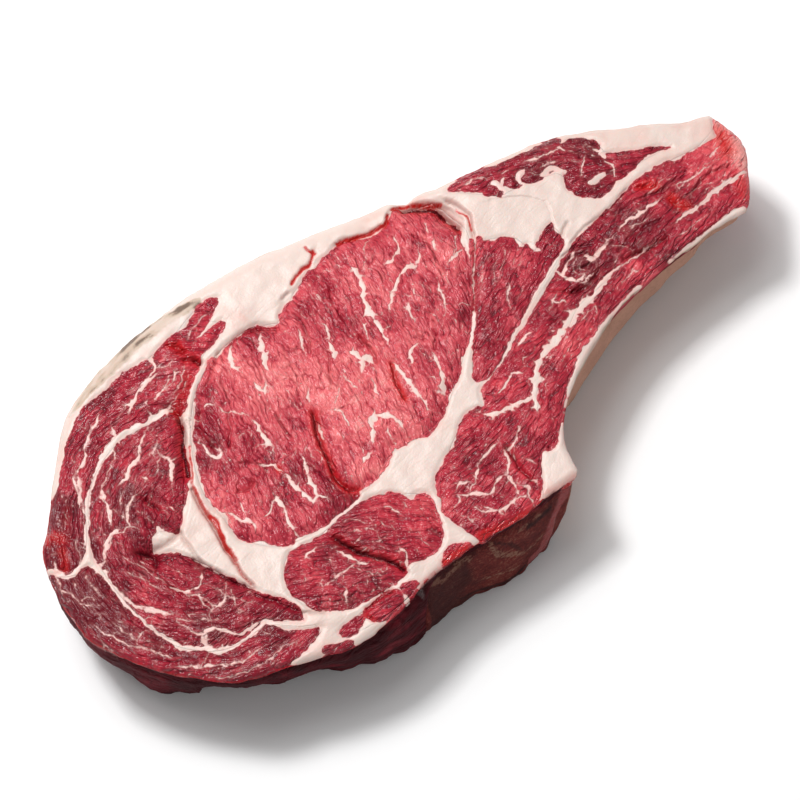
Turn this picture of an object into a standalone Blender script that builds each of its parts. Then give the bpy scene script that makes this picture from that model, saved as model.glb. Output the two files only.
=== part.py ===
"""Raw bone-in rib steak, cut across the ribs of a beef loin and lying on its lower cut face.

The steak is a slab of muscles that run through its thickness, with fat between and around them,
and a curved rib with its stub of backbone along the hollow edge. Every piece shares one plan:
the outlines are traced in millimetres on the upper cut face, one triangulation divides the face
among the pieces, and each piece then stands between a lower and an upper surface.
X runs along the steak to the rib's tip, Y towards the fat cover, Z up.
"""

import math

import bmesh
import bpy
import numpy as np
from mathutils import Vector
from mathutils.geometry import delaunay_2d_cdt

MM = 0.001

# Driving sizes, in millimetres
THICKNESS = 42.0
TAIL_TOP_DROP = 1.2
TAIL_FOOT_RISE = 8.0
TAIL_START_X = 40.0
TAIL_END_X = 150.0
SEAM_GAP = 0.35
PLAN_CENTRE = (10.55, 5.13)

LOOP_STEP = 4.0
OUTLINE_STEP = 3.6
GRID_STEP = 5.2
GRID_CLEARANCE = 2.6
RIM_RINGS = (1.7, 4.6)
BONE_RINGS = (0.9, 2.8, 6.0)

WALL_LEVELS = (0.25, 0.5, 0.75)
WALL_BULGE = 1.5
SHORT_WALL = 12.0
SPLIT_ORDER = (0.83, 0.56)
EDGE_BLEND = 5.0

BONE_COVER = 5.0
BONE_ROUND = 7.0
BONE_EDGE_DROP = 1.6
BONE_EDGE_WIDTH = 4.0

# Outline of the upper cut face, from the end of the fat cover round by the cap, chine and rib
OUTLINE = (
    (148.4, 25.4), (139.4, 28.4), (131.4, 33.8), (120.4, 39.6), (108.3, 46.0), (98.0, 50.0),
    (84.0, 52.8), (66.0, 55.6), (56.0, 56.6), (48.0, 59.0), (42.0, 58.4), (38.8, 61.6),
    (30.0, 63.4), (20.0, 66.0), (6.0, 68.6), (-8.0, 71.4), (-20.0, 72.9), (-34.0, 73.6),
    (-50.0, 72.6), (-68.0, 70.0), (-84.0, 65.6), (-95.0, 60.2), (-102.0, 53.6), (-111.5, 42.4),
    (-121.0, 30.4), (-126.8, 23.8), (-129.8, 16.0), (-131.4, 4.0), (-130.4, -7.5),
    (-127.4, -16.2), (-120.4, -27.2), (-112.4, -37.2), (-106.0, -43.5), (-100.5, -48.4),
    (-93.0, -51.6), (-84.0, -54.0), (-72.0, -58.4), (-60.0, -61.2), (-49.0, -61.0),
    (-38.0, -58.8), (-24.0, -56.2), (-10.0, -55.4), (4.0, -56.0), (18.0, -55.8), (28.0, -55.2),
    (34.4, -54.6), (35.8, -49.4), (36.8, -43.8), (42.0, -36.4), (49.0, -30.3), (58.0, -24.6),
    (70.0, -18.8), (83.0, -14.6), (98.0, -12.4), (116.0, -11.5), (130.0, -11.2), (136.8, -12.0),
    (141.8, -7.2), (147.2, 1.0), (151.0, 7.5), (151.8, 12.6), (150.2, 19.6),
)

# Where the steak's lower edge lies: place on the rim, its shift to the lower edge, the rounding
# of the upper rim and the rounding of the lower edge
EDGES = (
    ((140.0, 28.0), (0.0, -2.0), 2.0, 4.0),
    ((100.0, 49.0), (0.0, -2.0), 2.5, 5.0),
    ((60.0, 56.0), (0.0, -3.0), 2.5, 5.0),
    ((10.0, 67.0), (0.0, -3.0), 4.0, 6.0),
    ((-45.0, 72.5), (0.0, -3.0), 4.5, 6.0),
    ((-92.0, 60.0), (3.0, -3.0), 4.0, 6.0),
    ((-117.0, 34.0), (4.5, -3.5), 2.5, 6.0),
    ((-131.5, 4.0), (6.0, 0.5), 2.5, 6.0),
    ((-127.0, -16.0), (4.5, 2.5), 2.0, 5.0),
    ((-119.0, -29.0), (1.2, 1.0), 1.8, 4.0),
    ((-112.0, -37.0), (2.0, 4.0), 1.8, 4.0),
    ((-102.5, -47.0), (3.5, 11.5), 1.8, 6.0),
    ((-93.0, -51.6), (2.0, 10.0), 1.8, 6.0),
    ((-84.0, -54.0), (1.0, 6.0), 1.8, 5.0),
    ((-72.0, -58.4), (0.5, 8.0), 1.8, 5.0),
    ((-60.0, -61.2), (0.0, 3.5), 1.8, 4.0),
    ((-49.0, -61.0), (0.0, -1.2), 1.5, 3.0),
    ((-38.0, -58.8), (0.0, -5.0), 1.2, 2.5),
    ((-22.0, -56.0), (0.0, -5.8), 1.2, 1.5),
    ((4.0, -56.0), (0.0, -8.2), 1.2, 1.5),
    ((20.0, -56.0), (-5.0, -7.0), 1.2, 1.5),
    ((33.4, -53.0), (-12.0, -5.0), 1.5, 2.5),
    ((38.0, -41.0), (-8.0, 3.0), 1.5, 4.0),
    ((49.0, -30.3), (-3.0, 4.0), 1.5, 4.0),
    ((58.0, -24.6), (-1.0, 1.4), 1.5, 3.0),
    ((70.0, -18.8), (0.0, 1.0), 1.5, 3.0),
    ((83.0, -14.6), (0.0, 1.8), 1.5, 3.0),
    ((98.0, -12.4), (0.0, 3.5), 1.5, 3.0),
    ((114.0, -11.5), (0.0, 6.5), 1.5, 3.0),
    ((126.0, -11.4), (-1.0, 12.5), 1.5, 4.5),
    ((136.8, -12.0), (-2.0, 13.5), 1.5, 4.5),
    ((147.0, 1.0), (-3.0, 3.0), 2.0, 4.0),
    ((151.0, 12.0), (-3.0, 0.0), 2.0, 4.0),
)

# Muscles as they are cut on the upper face. One that reaches the rim runs past the outline.
RIB_EYE = (
    (-18.0, 46.2), (-24.0, 50.0), (-34.0, 49.9), (-44.0, 47.4), (-53.0, 42.4), (-60.0, 35.0),
    (-65.0, 27.5), (-69.0, 19.0), (-71.8, 9.0), (-71.0, 0.0), (-71.0, -7.0), (-67.5, -13.5),
    (-61.0, -19.2), (-52.0, -21.3), (-40.0, -20.9), (-31.0, -19.8), (-23.0, -18.0), (-13.0, -13.4),
    (-2.0, -14.2), (8.0, -12.6), (19.0, -5.2), (29.0, 3.2), (37.0, 12.0), (45.0, 23.0),
    (53.0, 34.5), (53.4, 43.0), (51.0, 52.0), (43.0, 56.2), (37.0, 58.0), (30.0, 55.8),
    (17.0, 57.8), (5.0, 56.2), (-7.0, 52.2),
)
CAP_INNER = (
    (-65.5, 39.5), (-72.0, 40.4), (-83.0, 41.6), (-93.0, 38.8), (-101.0, 33.6), (-107.0, 25.5),
    (-112.0, 15.0), (-113.6, 4.0), (-113.0, -7.0), (-110.8, -19.0), (-106.0, -27.6),
    (-99.0, -30.0), (-93.0, -31.4), (-89.0, -35.0), (-81.0, -35.6), (-73.0, -42.0),
    (-69.0, -42.8), (-70.0, -37.5), (-77.0, -28.6), (-82.0, -17.5), (-87.5, -6.0), (-93.0, -0.8),
    (-98.0, 2.0), (-95.0, 7.6), (-89.5, 7.4), (-86.0, 5.0), (-80.0, 10.2), (-74.8, 18.0),
    (-70.0, 26.5), (-65.8, 34.0),
)
CAP_UPPER = (
    (-31.0, 64.8), (-37.0, 61.0), (-34.0, 57.0), (-40.0, 53.2), (-49.0, 49.0), (-57.0, 43.2),
    (-63.0, 38.0), (-64.0, 42.6), (-70.0, 43.4), (-80.0, 44.4), (-89.0, 42.8), (-98.0, 38.6),
    (-105.0, 31.6), (-110.0, 22.6), (-114.6, 16.0), (-120.5, 12.8), (-126.0, 17.0),
    (-128.6, 20.6), (-134.0, 24.0), (-124.0, 34.0), (-112.0, 38.4), (-105.0, 44.0),
    (-98.0, 51.0), (-90.0, 57.2), (-78.0, 58.8), (-62.0, 60.0), (-48.0, 62.6), (-37.0, 65.8),
)
CAP_LOWER = (
    (-116.6, 10.6), (-115.8, -2.0), (-114.2, -13.0), (-110.6, -23.6), (-105.0, -31.6),
    (-97.0, -37.6), (-88.0, -39.4), (-80.5, -38.8), (-72.0, -45.4), (-65.6, -49.6),
    (-72.0, -52.4), (-81.0, -53.6), (-88.0, -58.0), (-106.0, -56.0), (-120.0, -44.0),
    (-136.0, -20.0), (-138.0, 0.0), (-136.0, 13.0), (-129.0, 14.6), (-125.0, 12.2),
    (-121.0, 10.0),
)
CHINE_EYE = (
    (-60.0, -22.6), (-51.0, -24.2), (-42.0, -22.8), (-33.0, -22.0), (-24.0, -23.8),
    (-19.0, -27.4), (-14.0, -30.4), (-11.6, -35.0), (-14.2, -43.0), (-18.0, -48.2),
    (-26.0, -49.4), (-34.0, -50.6), (-46.0, -50.0), (-56.0, -48.4), (-64.0, -43.4),
    (-67.4, -35.4), (-65.4, -28.0),
)
RIB_WEDGE = (
    (24.6, -8.8), (28.0, -2.8), (36.0, 5.6), (42.0, 14.2), (49.0, 24.6), (53.6, 30.8),
    (60.0, 29.4), (65.2, 26.4), (67.4, 20.6), (69.6, 17.4), (73.0, 20.4), (78.6, 22.2),
    (78.6, 15.4), (72.0, 10.6), (62.0, 6.0), (50.0, 0.6), (38.0, -6.4), (30.0, -9.8),
)
RIB_MEAT = (
    (146.0, 19.6), (138.0, 17.4), (124.0, 18.8), (112.0, 18.8), (98.0, 15.8), (84.0, 12.8),
    (73.0, 8.2), (60.0, 2.8), (48.0, -3.6), (36.0, -10.4), (26.0, -13.4), (21.0, -19.6),
    (15.0, -17.0), (9.0, -20.6), (1.0, -25.6), (-6.0, -32.0), (-10.2, -39.6), (-8.6, -48.0),
    (-6.0, -56.0), (-4.0, -62.0), (16.0, -62.0), (19.6, -54.0), (25.0, -46.0), (28.4, -37.6),
    (34.6, -27.6), (43.0, -21.2), (52.0, -17.0), (60.0, -12.0), (69.0, -6.6), (79.0, -5.2),
    (90.0, -2.9), (104.0, -2.3), (118.0, 0.0), (136.0, 1.6), (150.0, 2.6), (158.0, 12.0),
    (154.0, 20.0),
)
FINGER_MEAT = (
    (150.0, 1.4), (136.0, 0.2), (118.0, -1.4), (104.0, -3.9), (90.0, -4.4), (80.0, -6.8),
    (71.0, -8.6), (61.0, -13.6), (53.0, -18.4), (44.0, -22.8), (36.4, -28.4), (30.4, -38.0),
    (31.2, -42.2), (37.0, -37.8), (45.0, -30.6), (54.0, -23.8), (66.0, -17.6), (80.0, -12.8),
    (96.0, -10.6), (116.0, -9.4), (137.0, -8.6), (146.0, -8.0),
)
BLADE_STRIP = (
    (57.4, 53.4), (66.0, 53.6), (76.0, 51.6), (86.0, 49.8), (97.0, 47.6), (104.0, 44.4),
    (109.4, 39.0), (110.0, 34.0), (118.0, 28.8), (128.0, 24.0), (118.0, 24.2), (106.0, 23.8),
    (97.0, 25.2), (91.8, 30.4), (93.6, 36.0), (87.0, 38.8), (80.8, 41.4), (76.0, 40.8),
    (70.8, 41.2), (65.6, 45.6), (60.6, 50.0),
)
CHINE_STRIP = (
    (-61.0, -54.8), (-52.0, -53.2), (-43.0, -52.8), (-34.0, -54.2), (-32.4, -56.0),
    (-40.0, -57.8), (-50.0, -58.4), (-57.0, -57.2),
)

# Plan of the bone: its inner side on the steak, then a path round outside the outline
BONE_INNER = (
    (-33.0, -66.0), (-32.0, -52.0), (-25.0, -43.6), (-10.0, -39.4), (8.0, -38.6), (20.0, -35.4),
    (29.0, -27.6), (38.0, -19.6), (49.0, -12.4), (62.0, -6.4), (78.0, -1.8), (96.0, 0.8),
    (114.0, 2.0), (128.0, 1.6), (137.0, -2.4), (144.0, -14.0),
)
BONE_OUTER = ((120.0, -26.0), (70.0, -40.0), (46.0, -70.0))

# Hollows of the upper face: place, radius and depth
HOLLOWS = (
    ((51.0, 46.5), 5.0, 5.0),
    ((45.0, 53.0), 5.0, 2.4),
    ((-98.5, 2.0), 4.5, 4.2),
    ((-88.0, 17.0), 4.5, 2.0),
    ((-23.0, 48.5), 4.0, 1.6),
    ((26.0, 56.5), 5.0, 1.8),
    ((-60.0, -57.5), 6.0, 1.6),
)
# Split between the cap and the fat beside the eye
SPLIT = ((-74.0, 18.0), (-70.0, 25.6), (-65.0, 33.6))
SPLIT_WIDTH = 1.8
SPLIT_DEPTH = 4.0

# Piece name, outline, how far its middle stands above its edges, and its colour and roughness
RED_DEEP = (0.23, 0.012, 0.022)
RED_MID = (0.33, 0.026, 0.036)
RED_EYE = (0.42, 0.050, 0.058)
CREAM = (0.83, 0.66, 0.56)
IVORY = (0.47, 0.31, 0.22)
MUSCLES = (
    ("rib_eye", RIB_EYE, 1.2, RED_EYE),
    ("cap_inner", CAP_INNER, 1.0, RED_DEEP),
    ("cap_upper", CAP_UPPER, 0.7, RED_MID),
    ("cap_lower", CAP_LOWER, 0.8, RED_MID),
    ("chine_eye", CHINE_EYE, 1.0, RED_MID),
    ("rib_wedge", RIB_WEDGE, 0.7, RED_EYE),
    ("rib_meat", RIB_MEAT, 0.9, RED_MID),
    ("finger_meat", FINGER_MEAT, 0.6, RED_MID),
    ("blade_strip", BLADE_STRIP, 0.7, RED_EYE),
    ("chine_strip", CHINE_STRIP, 0.5, RED_MID),
)
MEAT_ROUGHNESS = 0.38
FAT_ROUGHNESS = 0.5
BONE_ROUGHNESS = 0.62
DOME_REACH = 5.0


def smooth_curve(points, step, closed=True):
    """A curve through the points, sampled at about the given step, as an array of x and y."""
    knots = np.array(points, float)
    count = len(knots)
    spans = count if closed else count - 1
    sampled = []
    for i in range(spans):
        if closed:
            before, start, end, after = (knots[(i + k) % count] for k in (-1, 0, 1, 2))
        else:
            before, start, end, after = (knots[min(max(i + k, 0), count - 1)] for k in (-1, 0, 1, 2))
        chord = np.linalg.norm(end - start)
        into = (end - before) / max(np.linalg.norm(end - start) + np.linalg.norm(start - before), 1e-9)
        out = (after - start) / max(np.linalg.norm(after - end) + np.linalg.norm(end - start), 1e-9)
        for t in np.linspace(0.0, 1.0, 17)[:-1]:
            hermite = (
                (2 * t**3 - 3 * t**2 + 1) * start
                + (t**3 - 2 * t**2 + t) * chord * into
                + (3 * t**2 - 2 * t**3) * end
                + (t**3 - t**2) * chord * out
            )
            sampled.append(hermite)
    sampled.append(sampled[0] if closed else knots[-1])
    fine = np.array(sampled)
    along = np.concatenate([[0.0], np.cumsum(np.linalg.norm(np.diff(fine, axis=0), axis=1))])
    pieces = max(3, round(along[-1] / step))
    places = np.linspace(0.0, along[-1], pieces + 1)
    if closed:
        places = places[:-1]
    return np.stack([np.interp(places, along, fine[:, axis]) for axis in (0, 1)], axis=1)


def signed_area(loop):
    """Area inside a closed loop, positive where it runs anticlockwise."""
    following = np.roll(loop, -1, axis=0)
    return 0.5 * np.sum(loop[:, 0] * following[:, 1] - following[:, 0] * loop[:, 1])


def offset_loop(loop, distance):
    """The closed loop moved outwards by a small distance."""
    along = np.roll(loop, -1, axis=0) - np.roll(loop, 1, axis=0)
    along /= np.linalg.norm(along, axis=1)[:, None]
    outward = np.stack([along[:, 1], -along[:, 0]], axis=1) * math.copysign(1.0, signed_area(loop))
    return loop + outward * distance


def inside(points, loop):
    """Which points lie inside a closed loop."""
    x, y = points[:, 0][:, None], points[:, 1][:, None]
    ax, ay = loop[:, 0][None], loop[:, 1][None]
    bx, by = np.roll(ax, -1), np.roll(ay, -1)
    crosses = (ay > y) != (by > y)
    rise = np.where(by == ay, 1.0, by - ay)
    at = ax + (y - ay) * (bx - ax) / rise
    return (np.sum(crosses & (x < at), axis=1) % 2) == 1


def distance_to(points, line, closed=True):
    """Distance from each point to a line of straight segments."""
    start = line if closed else line[:-1]
    end = np.roll(line, -1, axis=0) if closed else line[1:]
    along = end - start
    length = np.maximum(np.sum(along**2, axis=1), 1e-12)
    to_point = points[:, None, :] - start[None]
    share = np.clip(np.sum(to_point * along[None], axis=2) / length[None], 0.0, 1.0)
    nearest = start[None] + share[..., None] * along[None]
    return np.min(np.linalg.norm(points[:, None, :] - nearest, axis=2), axis=1)


def smooth_step(value):
    """0 below 0, 1 above 1, and smooth between."""
    t = np.clip(value, 0.0, 1.0)
    return t * t * (3.0 - 2.0 * t)


def edge_values(points):
    """Lean of the wall, rim rounding and foot rounding at each point, blended from EDGES."""
    places = np.array([row[0] for row in EDGES])
    values = np.array([(*row[1], row[2], row[3]) for row in EDGES])
    away = np.linalg.norm(points[:, None, :] - places[None], axis=2)
    weight = 1.0 / (away**2 + EDGE_BLEND**2) ** 2
    return weight @ values / np.sum(weight, axis=1)[:, None]


class Plan:
    """The loops of the steak's cut face and the heights of its surfaces over any point."""

    def __init__(self):
        self.outline = smooth_curve(OUTLINE, OUTLINE_STEP)
        self.muscles = {name: smooth_curve(points, LOOP_STEP) for name, points, _, _ in MUSCLES}
        self.clear = {name: offset_loop(loop, SEAM_GAP) for name, loop in self.muscles.items()}
        self.bone_inner = smooth_curve(BONE_INNER, LOOP_STEP, closed=False)
        self.bone = np.concatenate([self.bone_inner, np.array(BONE_OUTER)])

    def face_height(self, points):
        """The upper cut face before any rounding or relief."""
        tail = smooth_step((points[:, 0] - TAIL_START_X) / (TAIL_END_X - TAIL_START_X))
        wave = 0.5 * np.sin(points[:, 0] / 19.0 + 0.6) * np.sin(points[:, 1] / 15.0 + 1.1)
        return THICKNESS - TAIL_TOP_DROP * tail + wave

    def upper(self, points, name):
        """The upper surface, with the rim's rounding, the muscle's dome, hollows and split."""
        rim = edge_values(points)[:, 2]
        from_edge = distance_to(points, self.outline)
        height = self.face_height(points) - rim * np.clip(1.0 - from_edge / (rim + 1.5), 0.0, 1.0) ** 2
        if name in self.muscles:
            dome = next(row[2] for row in MUSCLES if row[0] == name)
            own = distance_to(points, self.muscles[name])
            height += dome * (smooth_step(own / DOME_REACH) - 0.5)
        for place, radius, depth in HOLLOWS:
            away = np.linalg.norm(points - np.array(place), axis=1)
            height -= depth * np.exp(-((away / radius) ** 2))
        split = distance_to(points, np.array(SPLIT), closed=False)
        return height - SPLIT_DEPTH * np.exp(-((split / SPLIT_WIDTH) ** 2))

    def lower(self, points):
        """The lower surface that the steak lies on: flat, lifting at its edge and along the tail."""
        foot = edge_values(points)[:, 3]
        from_edge = distance_to(points, self.outline)
        lift = foot * np.clip(1.0 - from_edge / (foot + 2.0), 0.0, 1.0) ** 2
        tail = smooth_step((points[:, 0] - TAIL_START_X) / (TAIL_END_X - TAIL_START_X))
        return lift + TAIL_FOOT_RISE * tail

    def bone_top(self, points):
        """The bone's upper surface, which rounds down to the lower face along its inner side."""
        low = self.lower(points)
        from_inner = distance_to(points, self.bone_inner, closed=False)
        from_edge = distance_to(points, self.outline)
        full = self.face_height(points) - BONE_COVER
        full -= BONE_EDGE_DROP * np.clip(1.0 - from_edge / BONE_EDGE_WIDTH, 0.0, 1.0) ** 2
        u = 1.0 - np.clip(from_inner / BONE_ROUND, 0.0, 1.0)
        return low + (full - low) * np.sqrt(1.0 - u**2)

    def place(self, points, heights):
        """Leans the walls, and moves the plan to the part's own origin."""
        lean = edge_values(points)[:, :2] * (1.0 - heights / THICKNESS)[:, None]
        moved = points + lean - np.array(PLAN_CENTRE)
        return np.column_stack([moved, heights]) * MM


def grid_points(plan, loops):
    """Points inside the outline: a triangular grid, and rings beside the rim and the bone."""
    low, high = plan.outline.min(axis=0), plan.outline.max(axis=0)
    rows = []
    for row, y in enumerate(np.arange(low[1], high[1], GRID_STEP * math.sqrt(0.75))):
        start = low[0] + (row % 2) * GRID_STEP / 2
        rows += [(x, y) for x in np.arange(start, high[0], GRID_STEP)]
    grid = np.array(rows)
    for loop in loops:
        grid = grid[distance_to(grid, loop) > GRID_CLEARANCE]
    rings = [offset_loop(plan.outline, -depth) for depth in RIM_RINGS]
    for depth in BONE_RINGS:
        along = np.gradient(plan.bone_inner, axis=0)
        along /= np.linalg.norm(along, axis=1)[:, None]
        rings.append(plan.bone_inner + np.stack([along[:, 1], -along[:, 0]], axis=1) * depth)
    kept = []
    for ring in rings:
        clear = np.ones(len(ring), bool)
        for loop in loops:
            clear &= distance_to(ring, loop) > 0.8
        kept.append(ring[clear])
    near = np.concatenate(kept)
    far = np.min(np.linalg.norm(grid[:, None] - near[None], axis=2), axis=1) > GRID_CLEARANCE
    spaced = np.concatenate([near, grid[far]])
    return spaced[inside(spaced, plan.outline)]


def triangulate(plan):
    """One triangulation of the whole face that follows every loop: its points and triangles."""
    loops = [plan.outline, *plan.muscles.values(), *plan.clear.values()]
    coords = []
    edges = []
    for loop in loops:
        first = len(coords)
        coords += [Vector(point) for point in loop]
        edges += [(first + i, first + (i + 1) % len(loop)) for i in range(len(loop))]
    first = len(coords)
    coords += [Vector(point) for point in plan.bone_inner]
    edges += [(first + i, first + i + 1) for i in range(len(plan.bone_inner) - 1)]
    coords += [Vector(point) for point in grid_points(plan, loops)]
    points, _, faces, _, _, _ = delaunay_2d_cdt(coords, edges, [], 0, 1e-4)
    return np.array([tuple(p) for p in points]), np.array([tuple(f) for f in faces])


def shared_out(plan, points, triangles):
    """Which triangles belong to each muscle, to the fat, and to the bone below them."""
    middles = points[triangles].mean(axis=1)
    on_face = inside(middles, plan.outline)
    free = on_face.copy()
    owned = {}
    for name in plan.muscles:
        mine = free & inside(middles, plan.muscles[name])
        owned[name] = mine
        free &= ~inside(middles, plan.clear[name])
    owned["fat"] = free
    over_bone = on_face & inside(middles, plan.bone)
    return owned, over_bone


def connected_parts(triangles):
    """Splits triangles into groups that share edges, the largest first."""
    by_edge = {}
    for index, corners in enumerate(triangles):
        for a, b in zip(corners, np.roll(corners, -1)):
            by_edge.setdefault((min(a, b), max(a, b)), []).append(index)
    neighbours = {i: [] for i in range(len(triangles))}
    for pair in by_edge.values():
        if len(pair) == 2:
            neighbours[pair[0]].append(pair[1])
            neighbours[pair[1]].append(pair[0])
    unseen = set(neighbours)
    groups = []
    while unseen:
        stack = [unseen.pop()]
        group = []
        while stack:
            index = stack.pop()
            group.append(index)
            for other in neighbours[index]:
                if other in unseen:
                    unseen.discard(other)
                    stack.append(other)
        groups.append(sorted(group))
    return sorted(groups, key=len, reverse=True)


def solid_piece(name, plan, points, triangles, top, bottom, material, shrink=0.0):
    """A closed solid over the triangles, between two heights for each point of the plan."""
    rim = {}
    for corners in triangles:
        for a, b in zip(corners, np.roll(corners, -1)):
            if (b, a) in rim:
                del rim[(b, a)]
            else:
                rim[(a, b)] = True
    used = np.unique(triangles)
    on_outline = distance_to(points[used], plan.outline) < 0.01
    outward = outline_normals(plan, points[used])
    mesh = bmesh.new()
    high, low, column = {}, {}, {}
    at_top = plan.place(points[used], top[used])
    at_bottom = plan.place(points[used], bottom[used])
    rim_ends = {a for edge in rim for a in edge}
    for k, index in enumerate(used):
        low[index] = mesh.verts.new(at_bottom[k])
        thin = top[index] - bottom[index] < 0.05
        high[index] = low[index] if thin else mesh.verts.new(at_top[k])
        column[index] = []
        tall = top[index] - bottom[index] > SHORT_WALL
        if index in rim_ends and on_outline[k] and tall:
            for level in WALL_LEVELS:
                height = bottom[index] + level * (top[index] - bottom[index])
                side = plan.place(points[used[k]][None], np.array([height]))[0]
                side[:2] += outward[k] * WALL_BULGE * math.sin(math.pi * level) * MM
                column[index].append(mesh.verts.new(side))
    for a, b, c in triangles:
        if len({high[a], high[b], high[c]} | {low[a], low[b], low[c]}) > 3:
            mesh.faces.new((high[a], high[b], high[c]))
            mesh.faces.new((low[c], low[b], low[a]))
    for a, b in rim:
        chains = [list(dict.fromkeys([low[i], *column[i], high[i]])) for i in (a, b)]
        rises = points[b] @ SPLIT_ORDER > points[a] @ SPLIT_ORDER
        wall_strip(mesh, *chains, left_first=rises)
    draw_in(mesh, set(low.values()), shrink * MM)
    flatten_foot(mesh)
    bmesh.ops.triangulate(mesh, faces=mesh.faces[:])
    data = bpy.data.meshes.new(name)
    mesh.to_mesh(data)
    mesh.free()
    data.materials.append(material)
    data.shade_smooth()
    data.set_sharp_from_angle(angle=math.radians(40.0))
    piece = bpy.data.objects.new(name, data)
    bpy.context.scene.collection.objects.link(piece)
    return piece


def outline_normals(plan, points):
    """The outline's outward direction nearest to each point."""
    loop = plan.outline
    along = np.roll(loop, -1, axis=0) - np.roll(loop, 1, axis=0)
    along /= np.linalg.norm(along, axis=1)[:, None]
    outward = np.stack([along[:, 1], -along[:, 0]], axis=1) * math.copysign(1.0, signed_area(loop))
    nearest = np.argmin(np.linalg.norm(points[:, None] - loop[None], axis=2), axis=1)
    return outward[nearest]


def wall_strip(mesh, left, right, left_first):
    """A strip of wall between two upright chains of points, split alike on facing walls."""
    i, j = 0, 0
    while i < len(left) - 1 or j < len(right) - 1:
        behind = len(left) - i - (len(right) - j)
        step_left = behind > 0 or (behind == 0 and left_first)
        if step_left:
            mesh.faces.new((left[i], right[j], left[i + 1]))
            i += 1
        else:
            mesh.faces.new((left[i], right[j], right[j + 1]))
            j += 1


def draw_in(mesh, foot, distance):
    """Moves the surface inwards by an even distance, and keeps the height of the foot."""
    mesh.normal_update()
    moves = {vert: vert.normal * vert.calc_shell_factor() * distance for vert in mesh.verts}
    for vert, move in moves.items():
        if vert in foot:
            move.z = 0.0
        vert.co -= move


def flatten_foot(mesh):
    """Joins the triangles of the flat foot, which needs few faces."""
    flat = [
        edge for edge in mesh.edges
        if len(edge.link_faces) == 2
        and all(abs(vert.co.z) < 1e-7 for face in edge.link_faces for vert in face.verts)
    ]
    verts = list({vert for edge in flat for vert in edge.verts})
    bmesh.ops.dissolve_limit(mesh, angle_limit=0.002, use_dissolve_boundaries=False, verts=verts, edges=flat)


def make_material(name, colour, roughness):
    """A Principled material of one colour."""
    material = bpy.data.materials.new(name)
    material.use_nodes = True
    shader = material.node_tree.nodes["Principled BSDF"]
    shader.inputs["Base Color"].default_value = (*colour, 1.0)
    shader.inputs["Roughness"].default_value = roughness
    shader.inputs["Metallic"].default_value = 0.0
    return material


def build():
    """Makes every piece of the steak."""
    for old in list(bpy.data.objects):
        bpy.data.objects.remove(old)
    plan = Plan()
    points, triangles = triangulate(plan)
    owned, over_bone = shared_out(plan, points, triangles)
    low = plan.lower(points)
    bone_top = plan.bone_top(points)
    above_bone = np.zeros(len(points), bool)
    above_bone[np.unique(triangles[over_bone])] = True
    foot = np.where(above_bone, bone_top, low)
    for name, _, _, colour in MUSCLES:
        group = triangles[owned[name]]
        group = group[connected_parts(group)[0]]
        material = make_material(name, colour, MEAT_ROUGHNESS)
        solid_piece(name, plan, points, group, plan.upper(points, name), foot, material)
    fat = triangles[owned["fat"]]
    cream = make_material("fat", CREAM, FAT_ROUGHNESS)
    for name, part in zip(("fat_cover", "rib_fat"), connected_parts(fat)):
        solid_piece(name, plan, points, fat[part], plan.upper(points, name), foot, cream)
    bone = triangles[over_bone]
    bone = bone[connected_parts(bone)[0]]
    inner_side = distance_to(points, plan.bone_inner, closed=False) < 0.01
    solid_piece("rib_bone", plan, points, bone, np.where(inner_side, low, bone_top), low,
                make_material("bone", IVORY, BONE_ROUGHNESS), shrink=SEAM_GAP)


build()
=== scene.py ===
"""Raw bone-in rib steak lying on its lower cut face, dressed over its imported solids.

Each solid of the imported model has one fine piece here. The charts of the cut face hold what the eye
sees on it: where fat and muscle lie, the veins, the tone of the meat, its grain, and the relief. Every
piece reads the same charts, so colours and relief run on over the seams between pieces. Plan places are
in millimetres, on the upper cut face as it is traced, with X along the steak and Y towards the fat cover.
"""

import logging
import math
from dataclasses import dataclass
from enum import Enum

import bpy
import numpy as np
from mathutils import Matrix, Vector


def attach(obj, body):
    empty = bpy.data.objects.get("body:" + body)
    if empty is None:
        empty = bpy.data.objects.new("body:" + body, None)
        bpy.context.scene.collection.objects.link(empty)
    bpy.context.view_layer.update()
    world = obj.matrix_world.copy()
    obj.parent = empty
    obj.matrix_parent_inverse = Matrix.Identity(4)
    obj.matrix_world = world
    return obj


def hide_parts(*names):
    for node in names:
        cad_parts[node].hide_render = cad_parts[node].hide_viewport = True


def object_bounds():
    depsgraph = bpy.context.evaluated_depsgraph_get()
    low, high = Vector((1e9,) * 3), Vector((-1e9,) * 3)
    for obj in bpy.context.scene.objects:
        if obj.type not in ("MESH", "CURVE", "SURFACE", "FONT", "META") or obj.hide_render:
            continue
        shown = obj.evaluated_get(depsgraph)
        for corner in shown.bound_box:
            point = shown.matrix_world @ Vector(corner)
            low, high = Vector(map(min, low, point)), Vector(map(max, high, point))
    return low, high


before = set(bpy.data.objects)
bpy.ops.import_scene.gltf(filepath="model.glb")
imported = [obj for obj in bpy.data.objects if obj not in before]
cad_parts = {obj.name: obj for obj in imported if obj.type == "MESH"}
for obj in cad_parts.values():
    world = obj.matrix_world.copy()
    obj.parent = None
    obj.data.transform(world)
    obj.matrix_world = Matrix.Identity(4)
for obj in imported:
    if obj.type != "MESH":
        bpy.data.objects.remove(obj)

Array = np.ndarray
Socket = bpy.types.NodeSocket

CAD_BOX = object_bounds()
MM = 0.001


class Ground(Enum):
    """What a stretch of a solid's surface is, and how fine its triangles become, in millimetres."""

    FACE = 0.42
    WALL = 0.95
    FOOT = 1.9
    HIDDEN = 90.0


class Mark(Enum):
    """What a mark on the sawn wall shows."""

    PALE = "pale"
    DARK = "dark"
    FLESH = "flesh"


@dataclass(frozen=True)
class Shot:
    """An enlarged part of the photograph: its left and top in pixels, and how much it is enlarged."""

    left: int
    top: int
    scale: int


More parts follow.
